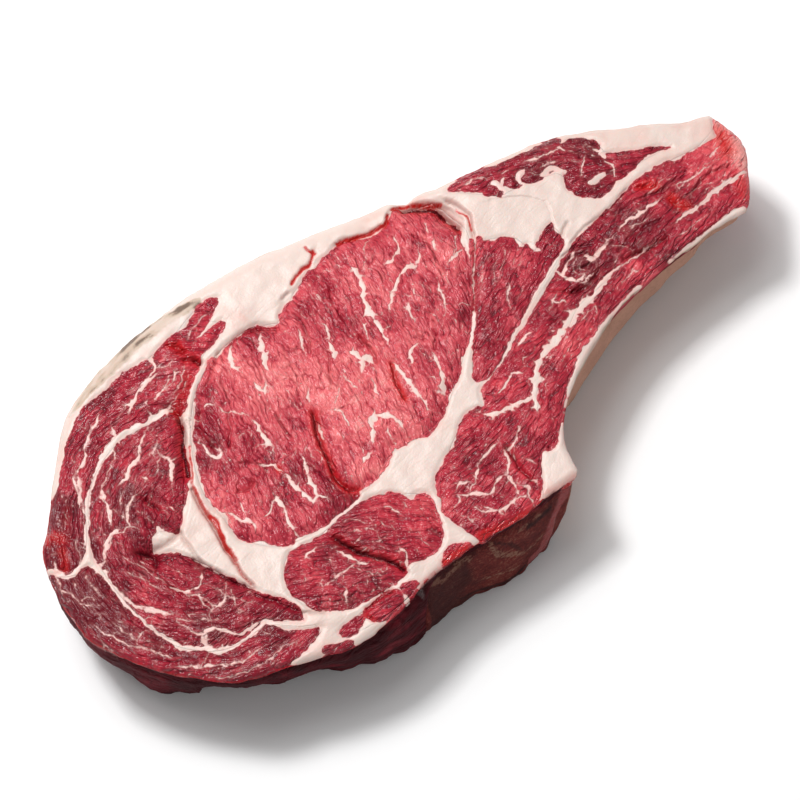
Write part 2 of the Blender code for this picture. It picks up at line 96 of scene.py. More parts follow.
@dataclass(frozen=True)
class Muscle:
    """A muscle on the cut face: how far its middle stands above its border, how far it reaches past its
    outline, and x and y of each point of the outline in turn, all in millimetres."""

    dome: float
    spread: float
    outline: tuple


# The slab, as its solids have it
THICKNESS = 42.0
TAIL_TOP_DROP = 1.2
TAIL_START_X = 40.0
TAIL_END_X = 150.0
PLAN_CENTRE = np.array((10.55, 5.13))
EDGE_BLEND = 5.0

# The steak's outline on the upper cut face, x and y of each point in turn
OUTLINE = (
    148.4, 25.4, 139.4, 28.4, 131.4, 33.8, 120.4, 39.6, 108.3, 46, 98, 50, 84, 52.8, 66, 55.6, 56, 56.6,
    48, 59, 42, 58.4, 38.8, 61.6, 30, 63.4, 20, 66, 6, 68.6, -8, 71.4, -20, 72.9, -34, 73.6, -50, 72.6,
    -68, 70, -84, 65.6, -95, 60.2, -102, 53.6, -111.5, 42.4, -121, 30.4, -126.8, 23.8, -129.8, 16, -131.4, 4,
    -130.4, -7.5, -127.4, -16.2, -120.4, -27.2, -112.4, -37.2, -106, -43.5, -100.5, -48.4, -93, -51.6,
    -84, -54, -72, -58.4, -60, -61.2, -49, -61, -38, -58.8, -24, -56.2, -10, -55.4, 4, -56, 18, -55.8,
    28, -55.2, 34.4, -54.6, 35.8, -49.4, 36.8, -43.8, 42, -36.4, 49, -30.3, 58, -24.6, 70, -18.8, 83, -14.6,
    98, -12.4, 116, -11.5, 130, -11.2, 136.8, -12, 141.8, -7.2, 147.2, 1, 151, 7.5, 151.8, 12.6, 150.2, 19.6,
)
# Place on the rim, its shift to the lower edge, and the rounding of the upper and the lower edge
EDGES = np.array((
    (140, 28, 0, -2, 2, 4), (100, 49, 0, -2, 2.5, 5), (60, 56, 0, -3, 2.5, 5), (10, 67, 0, -3, 4, 6),
    (-45, 72.5, 0, -3, 4.5, 6), (-92, 60, 3, -3, 4, 6), (-117, 34, 4.5, -3.5, 2.5, 6),
    (-131.5, 4, 6, 0.5, 2.5, 6), (-127, -16, 4.5, 2.5, 2, 5), (-119, -29, 1.2, 1, 1.8, 4),
    (-112, -37, 2, 4, 1.8, 4), (-102.5, -47, 3.5, 11.5, 1.8, 6), (-93, -51.6, 2, 10, 1.8, 6),
    (-84, -54, 1, 6, 1.8, 5), (-72, -58.4, 0.5, 8, 1.8, 5), (-60, -61.2, 0, 3.5, 1.8, 4),
    (-49, -61, 0, -1.2, 1.5, 3), (-38, -58.8, 0, -5, 1.2, 2.5), (-22, -56, 0, -5.8, 1.2, 1.5),
    (4, -56, 0, -8.2, 1.2, 1.5), (20, -56, -5, -7, 1.2, 1.5), (33.4, -53, -12, -5, 1.5, 2.5),
    (38, -41, -8, 3, 1.5, 4), (49, -30.3, -3, 4, 1.5, 4), (58, -24.6, -1, 1.4, 1.5, 3),
    (70, -18.8, 0, 1, 1.5, 3), (83, -14.6, 0, 1.8, 1.5, 3), (98, -12.4, 0, 3.5, 1.5, 3),
    (114, -11.5, 0, 6.5, 1.5, 3), (126, -11.4, -1, 12.5, 1.5, 4.5), (136.8, -12, -2, 13.5, 1.5, 4.5),
    (147, 1, -3, 3, 2, 4), (151, 12, -3, 0, 2, 4),
))

# The muscles of each portion, as they show on the cut face
EYE_MUSCLES = (
    Muscle(1.2, 0.1, (
        -72, 5, -71, 2, -70, 0, -71, -5, -70.5, -10, -68.5, -12, -67, -13.5, -62, -18, -57, -21, -55, -20.5,
        -50, -21.5, -45, -21.5, -40, -21, -35, -20.5, -31, -20.2, -29.5, -18, -28, -18.3, -25, -18.5,
        -20, -18, -17, -16.5, -14, -14.5, -12, -13, -8, -14, -5, -13.5, 0, -15.2, 3, -15, 7, -13.5, 10, -11.5,
        15, -7.5, 20, -5, 23, -2.5, 26, 0.5, 30, 3, 33, 6, 36, 9.5, 40, 14, 45, 22, 47, 26, 49, 31, 50, 35,
        53, 40, 52, 46, 51, 50, 49, 53, 45, 55, 41, 56.5, 38, 58.5, 36, 57.5, 33, 55, 30, 54.5, 25, 55,
        20, 57.5, 17, 59, 13, 58, 10, 57, 5, 56.8, 0, 55.5, -5, 53, -8, 51.5, -12, 50.5, -16, 48, -17, 46,
        -20, 46.5, -22, 48.5, -24, 50, -28, 50.3, -35, 49.8, -40, 48.5, -45, 47.5, -50, 44.5, -55, 40.5,
        -58, 36.5, -61, 32, -64, 28, -66, 24, -68, 20, -70, 15, -71.5, 10,
    )),
    Muscle(0.7, 0.3, (
        24.5, -9, 25, -6, 28, -3, 31, 1, 34, 4, 38, 9, 42, 14, 46, 20, 49, 25, 52, 29.5, 54, 31, 57, 30.3,
        60, 29, 63, 28.3, 65.3, 25, 65, 21.5, 68, 21.5, 69, 17, 70.5, 16, 70.5, 18.5, 73, 21, 76, 22.5,
        79, 23, 78, 20, 79, 17, 78.5, 15, 75, 13, 70, 11, 65, 8.5, 60, 6.5, 55, 3.5, 50, 0.5, 45, -2,
        40, -4.8, 35, -8, 30, -9.8,
    )),
    Muscle(0.7, 0.2, (
        57, 53, 59, 54.8, 63, 55, 68, 54.8, 75, 52.5, 80, 50.8, 85, 50, 95, 49.5, 98, 48.5, 100, 47, 98, 45.5,
        104, 44.5, 107, 43, 109, 40.5, 110.5, 38, 109.5, 36.5, 107, 35, 110, 33.5, 115, 31, 118, 29, 122, 27,
        126, 25.5, 130, 22.7, 125, 24, 120, 24.3, 115, 24, 110, 22.8, 105, 24, 100, 24, 97, 25.5, 93.5, 26.5,
        91.5, 29.5, 91.8, 32.5, 93.5, 35, 96, 36.5, 91, 38.5, 86, 38.5, 82, 39.3, 81, 42, 83, 43.5, 82, 45,
        80, 45, 79, 42, 78, 40.3, 75, 41.3, 74, 46, 72, 47.5, 70, 46.3, 66, 46.3, 63, 48.5, 60, 51,
    )),
    Muscle(0.2, 0.2, (67, 45, 70, 46, 71.5, 44, 71, 41, 67, 43.5)),
)
CAP_MUSCLES = (
    Muscle(1, 0.75, (
        -64.5, 41, -65, 35, -68, 29, -70, 24, -73, 18, -75, 16, -80, 10, -84, 6.5, -86, 5, -88, 6, -89.5, 8.5,
        -90, 11, -92, 11, -93, 8.5, -95, 7, -97, 4, -96.5, 1.5, -93, -0.5, -91.5, -2, -89, -5, -87, -9,
        -83, -16, -79, -23, -75, -30, -72, -34, -70, -38, -69, -41, -69.5, -43.5, -73, -41, -77, -38.5,
        -80, -36.6, -84, -37, -88, -37.4, -93, -37.3, -96, -36.7, -98.5, -34.8, -101, -32, -103.5, -29,
        -106.5, -26, -108.5, -22.5, -109.8, -19, -110.8, -14, -112.4, -8, -112.8, 0, -113, 8, -112.6, 12,
        -111.5, 15, -110, 19, -108.3, 22.4, -105.8, 26, -103.6, 29, -101, 32, -98.5, 34.5, -95.5, 37,
        -92, 38.6, -88, 40, -84, 41.2, -80.5, 41.5, -77.5, 40.4, -75, 39.8, -71, 40.8, -67.5, 41.2,
    )),
    Muscle(0.7, 0.75, (
        -30, 65, -31, 63.5, -35, 62, -38, 60, -45, 57, -42, 56, -38, 57, -32.5, 57, -34, 55, -38, 54,
        -42, 52.5, -46, 51, -48, 49.2, -53, 46, -58, 42, -62, 38, -63.4, 40, -63, 43, -68, 43.4, -72, 43.4,
        -75, 42.8, -77.8, 44.2, -81, 45.4, -84, 45, -88, 43.4, -92, 42, -95, 40.4, -98.6, 38, -101.3, 35.2,
        -104.3, 32.6, -107.4, 29, -109.4, 26, -111.4, 23, -113.6, 19, -115, 16.5, -118, 14.5, -121, 13,
        -123.5, 14, -125.5, 15.5, -126.5, 18, -129, 20, -134, 22, -128, 30, -121, 29.5, -117, 33.5, -115, 36,
        -111, 38, -108.5, 40, -106.5, 43, -104, 45, -101.5, 48, -99, 50.5, -97, 52, -94, 54.5, -90, 57,
        -85, 58.3, -80, 58, -77, 58.5, -75, 60, -65, 60, -62.5, 60, -61.6, 57.5, -60.5, 57, -59, 59.5,
        -55, 61, -50, 62, -47, 62.5, -44, 62, -40, 64, -37, 65.5, -32, 66,
    )),
    Muscle(0.8, 0.75, (
        -116.2, 9.5, -115.6, 0, -115.1, -8, -113.4, -15, -112.3, -20, -110.7, -24.6, -108.2, -29, -105, -32.2,
        -102, -35.2, -100.3, -37.3, -98, -39.4, -93, -40.2, -88, -40.2, -84, -39.8, -80.5, -39.4, -77, -43.3,
        -73, -46.5, -69, -49, -66.5, -49.8, -70, -51.6, -76, -52.4, -82, -53.4, -88, -55, -88, -60, -106, -58,
        -120, -46, -138, -20, -139, 0, -137, 14, -131, 16, -128, 14.5, -126.3, 12.2, -123.5, 10.4, -121, 9.6,
        -118.5, 10.6,
    )),
)
CHINE_MUSCLES = (
    Muscle(1, 0.15, (
        -67.5, -35, -67, -31, -64.5, -27, -62, -24, -59.5, -22.5, -56, -23, -52, -24, -47, -24, -43, -22.8,
        -38, -22, -33, -22, -28, -22.7, -24, -24, -20, -26, -18, -29, -16.5, -31, -15, -30, -12.5, -31,
        -11, -34, -12, -38, -14.5, -45, -16, -47.5, -18.5, -49, -22, -50, -26, -50, -29, -48, -32, -49,
        -34, -51, -38, -51.5, -46, -50.8, -50, -50, -55, -49.5, -59, -47.5, -62, -45, -65, -42.5, -66, -39,
    )),
    Muscle(0.4, 0.2, (-62, -54.5, -55, -53, -52, -54.5, -60, -57.5)),
    Muscle(0.4, 0.2, (-52, -53.5, -49, -52.5, -42, -52, -38, -54, -38, -57, -42, -59, -48, -59.3, -51, -57)),
    Muscle(0.3, 0.2, (-37, -53.5, -33, -54, -31, -55.5, -36, -57.5)),
    Muscle(0.3, 0.2, (-20, -52.5, -15, -50.8, -12, -53.5, -20, -56)),
    Muscle(0.3, 0.2, (-70, -56.5, -62, -57.5, -60, -60, -66, -61)),
)
RIB_MUSCLES = (
    Muscle(0.9, 0.3, (
        22, -18, 23, -14.5, 25, -12, 30, -11, 35, -9.5, 40, -7, 45, -4.5, 50, -2, 55, 0.5, 60, 3, 65, 5,
        70, 7.5, 75, 10.5, 80, 12.3, 85, 13.8, 90, 14.8, 100, 16.5, 105, 17.8, 110, 19, 115, 19.5, 125, 19.3,
        128, 18, 132, 17.5, 140, 17, 145, 16.5, 147, 20, 150, 24, 160, 24, 160, -2, 142, -16, 137, -9.5,
        130, -8.5, 120, -9.3, 110, -10.3, 100, -11.2, 90, -11.7, 85, -12.5, 80, -13.5, 75, -15, 70, -16.3,
        65, -18.3, 60, -20.5, 55, -23.2, 50, -26.8, 47, -29.5, 44, -32.5, 41, -35, 38, -38, 35, -41,
        31, -42.5, 28.8, -41.4, 27, -43.2, 25, -45, 22, -50, 19.5, -53, 16, -55.2, 8, -55, 0, -54.6,
        -5, -55.5, -7, -52, -9, -47, -10.5, -43, -10.5, -39.5, -9, -36.5, -8, -33, -6.5, -30.5, -5, -28.5,
        -2, -26.5, 2, -24.5, 6, -23.5, 9, -21, 11, -19, 15, -17, 18.5, -17,
    )),
)

# Fat inside the muscles: width at the start and at the end, then the line it follows
CAP_VEINS = (
    (0.5, 1.2, (-94, 28.5, -91.5, 29, -89, 30)), (1.3, 1.1, (-89, 30, -87, 32, -83, 32.5)),
    (1.1, 0.6, (-83, 32.5, -80, 36, -76, 39)), (0.7, 0.9, (-103, 18, -101, 24, -100, 29)),
    (0.9, 0.6, (-100, 29, -97, 32)), (0.6, 1, (-112.5, 8.5, -109, 12, -105, 15, -101, 16)),
    (0.9, 1.2, (-113, -3, -111.5, -8, -110, -11.5)), (1.2, 0.8, (-110, -11.5, -107, -15, -104.5, -17.5)),
    (0.6, 0.4, (-104.5, -17.5, -102.5, -18.5)), (0.9, 0.7, (-99, -36, -99.6, -32, -99, -29)),
    (0.7, 0.9, (-99, -29, -95, -30, -92, -32.5, -90, -35.5)), (0.6, 0.5, (-97, 20, -93, 21.5, -88.5, 23)),
    (0.7, 0.5, (-96, 12, -97.5, 17, -96, 20)), (0.9, 0.5, (-83.4, 12.6, -82.6, 10)),
    (0.8, 0.5, (-84, 26, -86.5, 25)), (1.5, 0.6, (-78, 20, -76, 22.5, -74.6, 26)),
    (0.5, 0.4, (-74.6, 26, -76.5, 30, -75.5, 33)), (0.4, 0.5, (-80, 31.5, -76.5, 33, -74, 35)),
    (0.5, 0.4, (-108, 2, -104, -4, -101, -10)), (0.4, 0.5, (-106, 8, -103, 2, -99, -8)),
    (0.5, 0.4, (-97, -12, -92, -20, -88, -26)), (0.4, 0.4, (-88, -16, -84, -25, -79, -31)),
    (0.4, 0.5, (-103, -20, -97, -25, -91, -29)), (0.5, 0.3, (-94, -6, -91.5, -12)),
    (1, 0.6, (-104, 40, -106, 34, -108, 29)), (0.7, 1, (-102, 41, -98.5, 41.5, -95.5, 45)),
    (1, 0.8, (-95.5, 45, -93, 48, -90, 50.5)), (0.8, 0.5, (-90, 50.5, -84, 53)),
    (0.8, 1.2, (-77, 50.5, -74, 50, -70, 52)), (1.1, 0.7, (-70, 52, -66, 53, -60, 54.2)),
    (0.8, 0.5, (-74, 50, -77, 47.5)), (1.3, 0.5, (-84.5, 44.6, -84.2, 46.4, -86, 47)),
    (0.5, 0.3, (-81, 48.5, -76, 50.4)), (0.4, 0.4, (-104.5, 33.5, -103.4, 35.4)),
    (0.5, 0.7, (-68, 47, -63, 48.5, -58, 51.5)), (0.5, 0.5, (-62, 44.5, -57, 46.5, -52, 51)),
    (0.6, 0.4, (-119, 12, -117, 16, -114, 21)), (0.4, 0.4, (-122, 20, -124.6, 21.6)),
    (0.5, 0.7, (-58, 57, -54, 57.5)), (0.5, 0.4, (-46, 59, -41, 61.5, -36, 62.6)),
    (0.5, 0.4, (-128.5, 10, -126, 4, -124.5, -2)), (0.5, 0.6, (-125.5, 2.6, -122, -1.5)),
    (0.5, 0.6, (-123, 8, -124, 6)), (0.5, 0.8, (-126.5, -6, -123, -14, -119, -20)),
    (0.8, 0.5, (-119, -20, -114, -27, -110, -31)), (0.5, 0.4, (-121, -10, -117, -19)),
    (0.5, 0.8, (-112, -33, -106, -38, -101, -41)), (0.8, 0.5, (-101, -41, -94, -44, -86, -44.5)),
    (0.5, 0.6, (-104, -44, -96, -47.5, -88, -49)), (0.6, 0.4, (-88, -49, -80, -48, -74, -49.4)),
)
RIB_VEINS = (
    (2.6, 2.2, (47, -15, 50, -13.5, 55, -12.5, 60, -10.5)),
    (2.2, 1.6, (60, -10.5, 65, -8.5, 70, -7, 75, -6.5)), (1.6, 0.6, (75, -6.5, 80, -4.5, 85, -3.5, 90, -3.2)),
    (0.6, 0.4, (90, -3.2, 98, -3, 104, -3.2)), (0.6, 1.2, (113, -1.5, 118, -1, 125, -0.5)),
    (1.2, 1, (125, -0.5, 135, 0.5, 145, 1.3)), (0.9, 1.2, (97, 8.5, 102, 9, 108, 8.5)),
    (1, 0.6, (108, 8.5, 115, 9)), (1.4, 1, (70.5, 8, 71.5, 4, 74, 1.5)), (1, 0.6, (74, 1.5, 78, 1)),
    (0.8, 1.4, (28, -17, 33, -15.5, 36, -14)), (1.2, 0.8, (36, -14, 39, -15.5)),
    (0.7, 1.2, (44, -7, 50, -4.5)), (1.6, 2.6, (35, -29, 40, -22, 47, -15)),
    (1.8, 1.2, (38, -25, 30, -23.4, 22, -22, 19.4, -20)), (0.5, 0.7, (60, -2, 66, 1.5)),
    (0.5, 0.4, (80, 3.5, 88, 6, 94, 7.6)), (0.6, 0.5, (122, 8, 130, 9.5, 137, 9)),
    (0.5, 0.4, (112, 13, 120, 14)), (0.4, 0.6, (85, -8, 94, -7.4)), (0.5, 0.4, (112, -5.4, 124, -5)),
    (0.5, 0.5, (52, -20, 58, -17)), (0.5, 0.5, (138, 12, 144, 13)), (1, 0.7, (17.5, -30.5, 12, -32, 8, -34)),
    (0.9, 0.7, (8, -34, 5, -37, 0, -40)), (0.6, 1.1, (28, -31, 22, -33.5, 18.5, -34.5)),
    (1.1, 0.7, (18.5, -34.5, 17, -38, 14.5, -42)), (0.8, 0.6, (14.5, -42, 14, -47, 13, -50)),
    (0.5, 1.2, (0, -40, 2, -42, 6, -44)), (1.1, 0.6, (6, -44, 9, -42, 13, -41)),
    (0.6, 0.6, (1, -46, 3, -49, 5, -52)), (0.8, 0.8, (5, -50.5, 12, -50.5)), (0.6, 0.4, (-3, -34, 1, -36)),
    (0.5, 0.6, (22, -40, 24, -44)),
)
BLADE_VEINS = (
    (0.7, 0.5, (62, 52, 66, 51.5, 70, 49.5)), (0.6, 0.8, (84, 47, 90, 45, 97, 44)),
    (0.6, 0.5, (88, 42, 95, 40.5)), (0.9, 0.6, (98, 31, 101, 35, 104, 37)), (1, 0.6, (99, 28, 103, 28.5)),
    (0.6, 0.5, (76, 48, 80, 47.5)), (0.5, 0.5, (104, 40, 108, 38.4)),
)
# Enlarged parts of the photograph that lines were read from, in pixels of the enlarged part
CAP_TOP = Shot(40, 340, 4)
CAP_BOTTOM = Shot(40, 540, 4)
CHINE = Shot(280, 470, 4)
TAIL = Shot(440, 110, 4)
EYE = Shot(190, 200, 3)
# Pockets of fat in the blade: width at the start and at the end in millimetres, then the line
SHOT_POCKETS = (
    (TAIL, (
        (2.2, 1.8, (604, 290, 620, 276, 654, 256)), (1.3, 0.9, (248, 312, 254, 272)),
        (1.4, 1, (321, 300, 306, 250, 334, 240)), (2, 1.6, (420, 256, 440, 236, 478, 232, 500, 246)),
        (0.9, 0.6, (700, 262, 690, 225, 660, 200)), (1.4, 0.8, (655, 180, 640, 160, 610, 158)),
        (0.8, 0.6, (470, 150, 500, 170)),
    )),
)
# Fat inside the muscles, read the same way
SHOT_VEINS = (
    (CAP_TOP, (
        (0.4, 0.5, (245, 315, 230, 330, 210, 360, 195, 400, 185, 450, 178, 490, 160, 510, 150, 540)),
        (0.7, 1, (150, 540, 155, 590, 160, 630, 168, 660)), (0.9, 0.5, (168, 660, 178, 690, 188, 720)),
        (1.4, 2.2, (530, 285, 490, 290, 450, 310, 430, 335, 415, 345)),
        (1.9, 3, (415, 345, 380, 350, 340, 370, 310, 385)),
        (3, 1.8, (310, 385, 290, 410, 265, 440, 240, 480)),
        (1.7, 1.1, (240, 480, 222, 520, 210, 570, 200, 620)), (0.5, 1.6, (285, 340, 290, 358, 300, 378)),
        (1, 1.5, (200, 620, 193, 670, 190, 720, 190, 780)),
        (1.5, 1.7, (190, 780, 195, 830, 205, 870, 230, 910)),
        (0.9, 0.6, (440, 90, 455, 115, 445, 140, 425, 165, 405, 195)),
        (0.7, 0.8, (405, 195, 385, 225, 365, 255, 345, 265, 325, 268)),
        (0.7, 0.4, (365, 255, 370, 270, 352, 290, 350, 310)),
        (0.4, 0.5, (455, 118, 490, 115, 520, 100, 535, 85)),
        (0.5, 0.5, (560, 130, 540, 155, 520, 180, 500, 200, 485, 215, 482, 230)),
        (0.5, 0.4, (590, 150, 575, 190, 555, 225, 535, 245, 515, 265)),
        (0.4, 0.3, (510, 205, 490, 190, 478, 170)), (0.5, 0.5, (160, 350, 175, 355, 185, 340)),
        (0.4, 0.3, (430, 345, 425, 370, 405, 400)), (0.5, 0.9, (405, 400, 395, 430, 392, 460)),
        (0.9, 1.7, (392, 460, 385, 485, 365, 505, 350, 525)), (1.6, 0.5, (350, 525, 348, 550, 325, 575)),
        (0.4, 0.4, (430, 350, 440, 375, 460, 395, 468, 415)),
        (0.4, 0.4, (468, 415, 455, 440, 445, 460, 465, 460, 490, 465)),
        (0.4, 1.5, (490, 465, 515, 480, 530, 495, 527, 520, 524, 545)),
        (1.3, 0.3, (524, 545, 525, 555, 530, 572)), (0.4, 0.3, (485, 460, 470, 490, 475, 520, 460, 540)),
        (0.5, 0.6, (290, 430, 300, 470, 285, 500, 275, 530, 265, 560, 250, 590)),
        (0.7, 1, (250, 590, 255, 620, 262, 650)), (1, 0.5, (262, 650, 275, 680, 285, 710, 288, 745)),
        (0.4, 0.3, (335, 600, 320, 640, 325, 680)), (0.5, 0.5, (380, 645, 355, 670, 350, 700, 360, 740)),
        (0.6, 0.7, (360, 740, 340, 760, 310, 775, 290, 800)),
        (0.7, 0.5, (290, 800, 280, 830, 270, 860, 265, 890)), (0.4, 0.3, (300, 820, 330, 820, 345, 845)),
        (1, 0.7, (400, 552, 420, 554, 432, 562)), (1.2, 1.3, (50, 890, 65, 920, 90, 940, 130, 945)),
        (1.2, 0.5, (130, 945, 155, 930, 165, 905, 180, 880, 190, 850)),
        (0.6, 0.5, (60, 930, 75, 970, 85, 1000, 95, 1030)), (0.5, 0.3, (195, 960, 210, 990, 225, 1010)),
    )),
    (CAP_BOTTOM, (
        (1.7, 1.6, (190, 50, 215, 90, 250, 140, 290, 190)), (1.6, 1.3, (290, 190, 330, 240, 360, 285)),
        (1.2, 0.8, (360, 285, 400, 320, 440, 345, 465, 370, 500, 400)),
        (0.8, 0.7, (500, 400, 545, 425, 600, 437, 650, 435)),
        (0.7, 0.9, (650, 435, 700, 435, 745, 432, 790, 415)),
        (0.8, 0.5, (790, 415, 830, 395, 870, 370, 890, 350)),
        (1.3, 1.2, (1135, 300, 1100, 322, 1050, 330, 990, 333, 930, 332, 880, 328)),
        (1.1, 0.9, (880, 328, 850, 345, 820, 365, 790, 378, 750, 372, 700, 362)),
        (0.8, 0.4, (700, 362, 670, 368, 650, 378, 620, 370, 580, 345, 540, 320)),
        (0.6, 0.6, (660, 372, 668, 400, 680, 430, 690, 440)),
        (0.4, 0.4, (680, 440, 672, 470, 650, 495, 620, 510)),
        (0.6, 0.6, (330, 225, 360, 245, 400, 265, 440, 275, 480, 288, 520, 295, 540, 293)),
        (0.6, 0.9, (650, 130, 645, 160, 640, 185, 615, 195)),
        (0.9, 0.5, (615, 195, 580, 208, 545, 200, 510, 190)),
        (0.5, 0.7, (750, 165, 748, 200, 740, 230, 720, 260, 690, 280)),
        (0.6, 0.5, (690, 280, 665, 265, 645, 240, 635, 215)), (0.5, 0.5, (690, 280, 685, 300, 685, 330)),
        (0.4, 0.3, (760, 190, 770, 230, 785, 270, 800, 290, 820, 300)),
        (0.7, 0.5, (390, 400, 400, 380, 420, 370, 440, 375)), (0.4, 0.3, (480, 410, 485, 430, 475, 450)),
        (0.4, 0.3, (470, 360, 485, 345)), (0.4, 0.3, (190, 140, 205, 185, 230, 215, 260, 235)),
        (0.5, 0.3, (160, 240, 190, 236, 215, 238)), (0.4, 0.3, (190, 345, 210, 370, 250, 420, 290, 455)),
    )),
    (CHINE, (
        (0.4, 1.6, (225, 325, 250, 345, 280, 355, 308, 380)), (1.5, 0.7, (308, 380, 330, 378, 352, 369)),
        (0.8, 0.4, (300, 385, 260, 405, 230, 430, 200, 460, 180, 470)),
        (0.5, 0.4, (88, 425, 104, 444, 98, 462)), (0.5, 0.3, (104, 444, 120, 440)),
        (0.7, 0.6, (265, 480, 262, 510, 268, 540)), (0.3, 0.4, (235, 500, 262, 510, 285, 520)),
        (0.7, 0.7, (410, 160, 440, 155, 470, 175, 480, 185)),
        (0.4, 0.4, (250, 210, 290, 195, 330, 205, 350, 220)),
        (0.4, 0.3, (350, 235, 390, 250, 400, 290, 405, 305)), (0.3, 0.4, (380, 300, 400, 290, 420, 280)),
        (0.7, 1, (470, 310, 490, 330, 505, 370, 510, 390)),
        (0.5, 0.5, (395, 400, 410, 410, 430, 400, 430, 380)), (0.3, 0.5, (360, 430, 380, 410, 400, 400)),
        (0.4, 0.3, (550, 250, 570, 280, 600, 300)), (0.6, 0.5, (85, 365, 120, 335, 160, 310)),
        (0.6, 0.8, (690, 150, 720, 130, 715, 100)), (0.9, 0.8, (715, 100, 770, 95, 830, 95)),
        (0.8, 0.6, (830, 95, 860, 60, 870, 20)), (0.6, 0.9, (770, 150, 800, 165, 860, 165)),
        (0.9, 0.6, (860, 165, 890, 150, 930, 135, 960, 110, 990, 90)),
        (0.5, 0.6, (720, 180, 770, 200, 800, 190)), (0.5, 0.8, (960, 50, 990, 70, 1000, 110, 1020, 140)),
        (0.5, 0.6, (970, 40, 1010, 30, 1030, 60)), (0.5, 0.8, (700, 90, 720, 60, 760, 55)),
        (0.5, 0.4, (900, 0, 915, 40, 900, 70)),
    )),
    (TAIL, (
        (0.4, 0.3, (250, 550, 260, 590, 245, 640, 235, 680)), (0.4, 0.3, (225, 600, 215, 650, 225, 690)),
        (0.3, 0.3, (160, 600, 170, 680, 165, 750)), (0.4, 0.3, (320, 560, 325, 600, 310, 640)),
        (0.8, 0.5, (275, 700, 270, 760, 280, 800)), (0.7, 0.4, (330, 720, 320, 750)),
        (0.4, 1.1, (890, 350, 860, 370, 830, 395)), (1.1, 0.5, (830, 395, 790, 420, 750, 445, 725, 465)),
        (1.2, 1.6, (1232, 235, 1190, 260, 1150, 282)),
        (1.2, 0.6, (1150, 282, 1110, 310, 1080, 340, 1040, 370)),
        (0.6, 1.1, (1040, 370, 1000, 400, 970, 430, 950, 445)),
        (0.4, 0.5, (1040, 250, 1000, 280, 960, 295, 925, 305)), (0.5, 0.4, (940, 300, 965, 330)),
        (0.4, 0.3, (1130, 190, 1090, 200, 1050, 230)), (0.5, 1.2, (545, 560, 520, 590, 500, 630, 500, 670)),
        (1.2, 0.4, (500, 670, 530, 685, 580, 680, 620, 650)),
        (0.4, 0.5, (550, 580, 535, 620, 545, 650, 580, 655)), (0.4, 0.4, (565, 600, 560, 635, 590, 640)),
        (0.6, 1.9, (580, 570, 600, 592, 625, 592)), (1.6, 0.4, (625, 592, 645, 570, 680, 520)),
        (0.5, 0.4, (690, 545, 720, 540, 760, 560)), (0.4, 1.2, (735, 615, 700, 640, 670, 680)),
        (1.3, 1.4, (670, 680, 640, 720, 590, 760, 550, 810, 520, 870)), (0.6, 1.2, (450, 760, 480, 775)),
        (1.2, 0.4, (480, 775, 495, 760, 510, 770)), (0.4, 0.4, (560, 850, 600, 800, 620, 780, 632, 820)),
        (0.5, 0.3, (760, 470, 800, 450, 850, 430)), (0.4, 0.3, (1000, 345, 1050, 310, 1100, 290)),
    )),
    (EYE, (
        (1, 2.6, (485, 203, 500, 215, 512, 235)), (2.7, 2.2, (512, 235, 518, 265, 525, 300)),
        (2.2, 1.4, (525, 300, 538, 330, 552, 360)), (1.4, 1.6, (552, 360, 568, 378, 580, 405)),
        (1.6, 0.5, (580, 405, 592, 428, 600, 445)),
        (0.5, 0.5, (518, 215, 530, 180, 520, 160, 530, 130, 540, 115)),
        (0.5, 1.3, (600, 345, 598, 310, 606, 280)), (1.5, 1.2, (606, 280, 624, 250, 632, 224)),
        (1.2, 1.4, (632, 224, 655, 206, 680, 198)), (1.3, 0.5, (680, 198, 690, 170, 684, 140)),
        (0.5, 1.4, (580, 192, 598, 186, 610, 172)), (1.2, 0.6, (610, 172, 622, 148, 612, 108)),
        (1.8, 0.5, (732, 122, 735, 140, 738, 158)), (0.6, 0.4, (705, 60, 712, 85, 715, 110)),
        (1.2, 0.8, (780, 190, 795, 170, 810, 155, 815, 145)), (0.5, 0.4, (800, 100, 790, 160, 770, 200)),
        (0.8, 0.5, (675, 260, 672, 275, 680, 290)), (1, 0.5, (745, 245, 755, 280, 765, 320, 768, 345)),
        (0.7, 0.5, (800, 318, 820, 310, 840, 318)), (1.8, 0.5, (650, 315, 660, 345, 672, 370)),
        (0.5, 1.8, (680, 430, 668, 450, 655, 470)), (1.6, 0.5, (655, 470, 665, 485, 660, 500)),
        (0.8, 0.5, (680, 430, 690, 450, 700, 455)), (0.7, 0.5, (780, 470, 800, 462)),
        (0.6, 1.6, (722, 462, 738, 485, 750, 520)), (1.6, 2, (750, 520, 758, 550, 763, 580)),
        (1.2, 0.4, (763, 580, 745, 580, 733, 578)), (0.5, 2.2, (608, 488, 628, 512, 644, 538)),
        (2, 1, (644, 538, 665, 565, 690, 600)), (0.8, 0.5, (690, 600, 710, 625, 725, 635)),
        (0.8, 2.4, (472, 455, 495, 465, 518, 482)), (2.4, 1.6, (518, 482, 535, 475, 548, 490)),
        (1.8, 0.6, (520, 482, 515, 505, 513, 525)), (0.8, 0.5, (515, 370, 530, 395, 540, 425)),
        (0.5, 1.2, (398, 372, 410, 395, 418, 425)), (1.4, 2.8, (418, 425, 425, 440, 430, 455)),
        (2.6, 1.2, (430, 455, 438, 465, 436, 480)), (1, 0.4, (425, 450, 405, 452)),
        (0.8, 1.2, (325, 385, 333, 415, 340, 445)), (1, 0.4, (340, 445, 348, 470)),
        (1, 1.8, (214, 405, 214, 430, 216, 460)), (1.8, 1, (216, 460, 222, 490, 230, 514)),
        (0.6, 0.4, (200, 430, 214, 440, 225, 432)), (0.8, 2.4, (122, 443, 122, 465, 124, 485)),
        (2.2, 0.6, (124, 485, 138, 503, 154, 522)), (0.9, 0.4, (120, 488, 108, 492)),
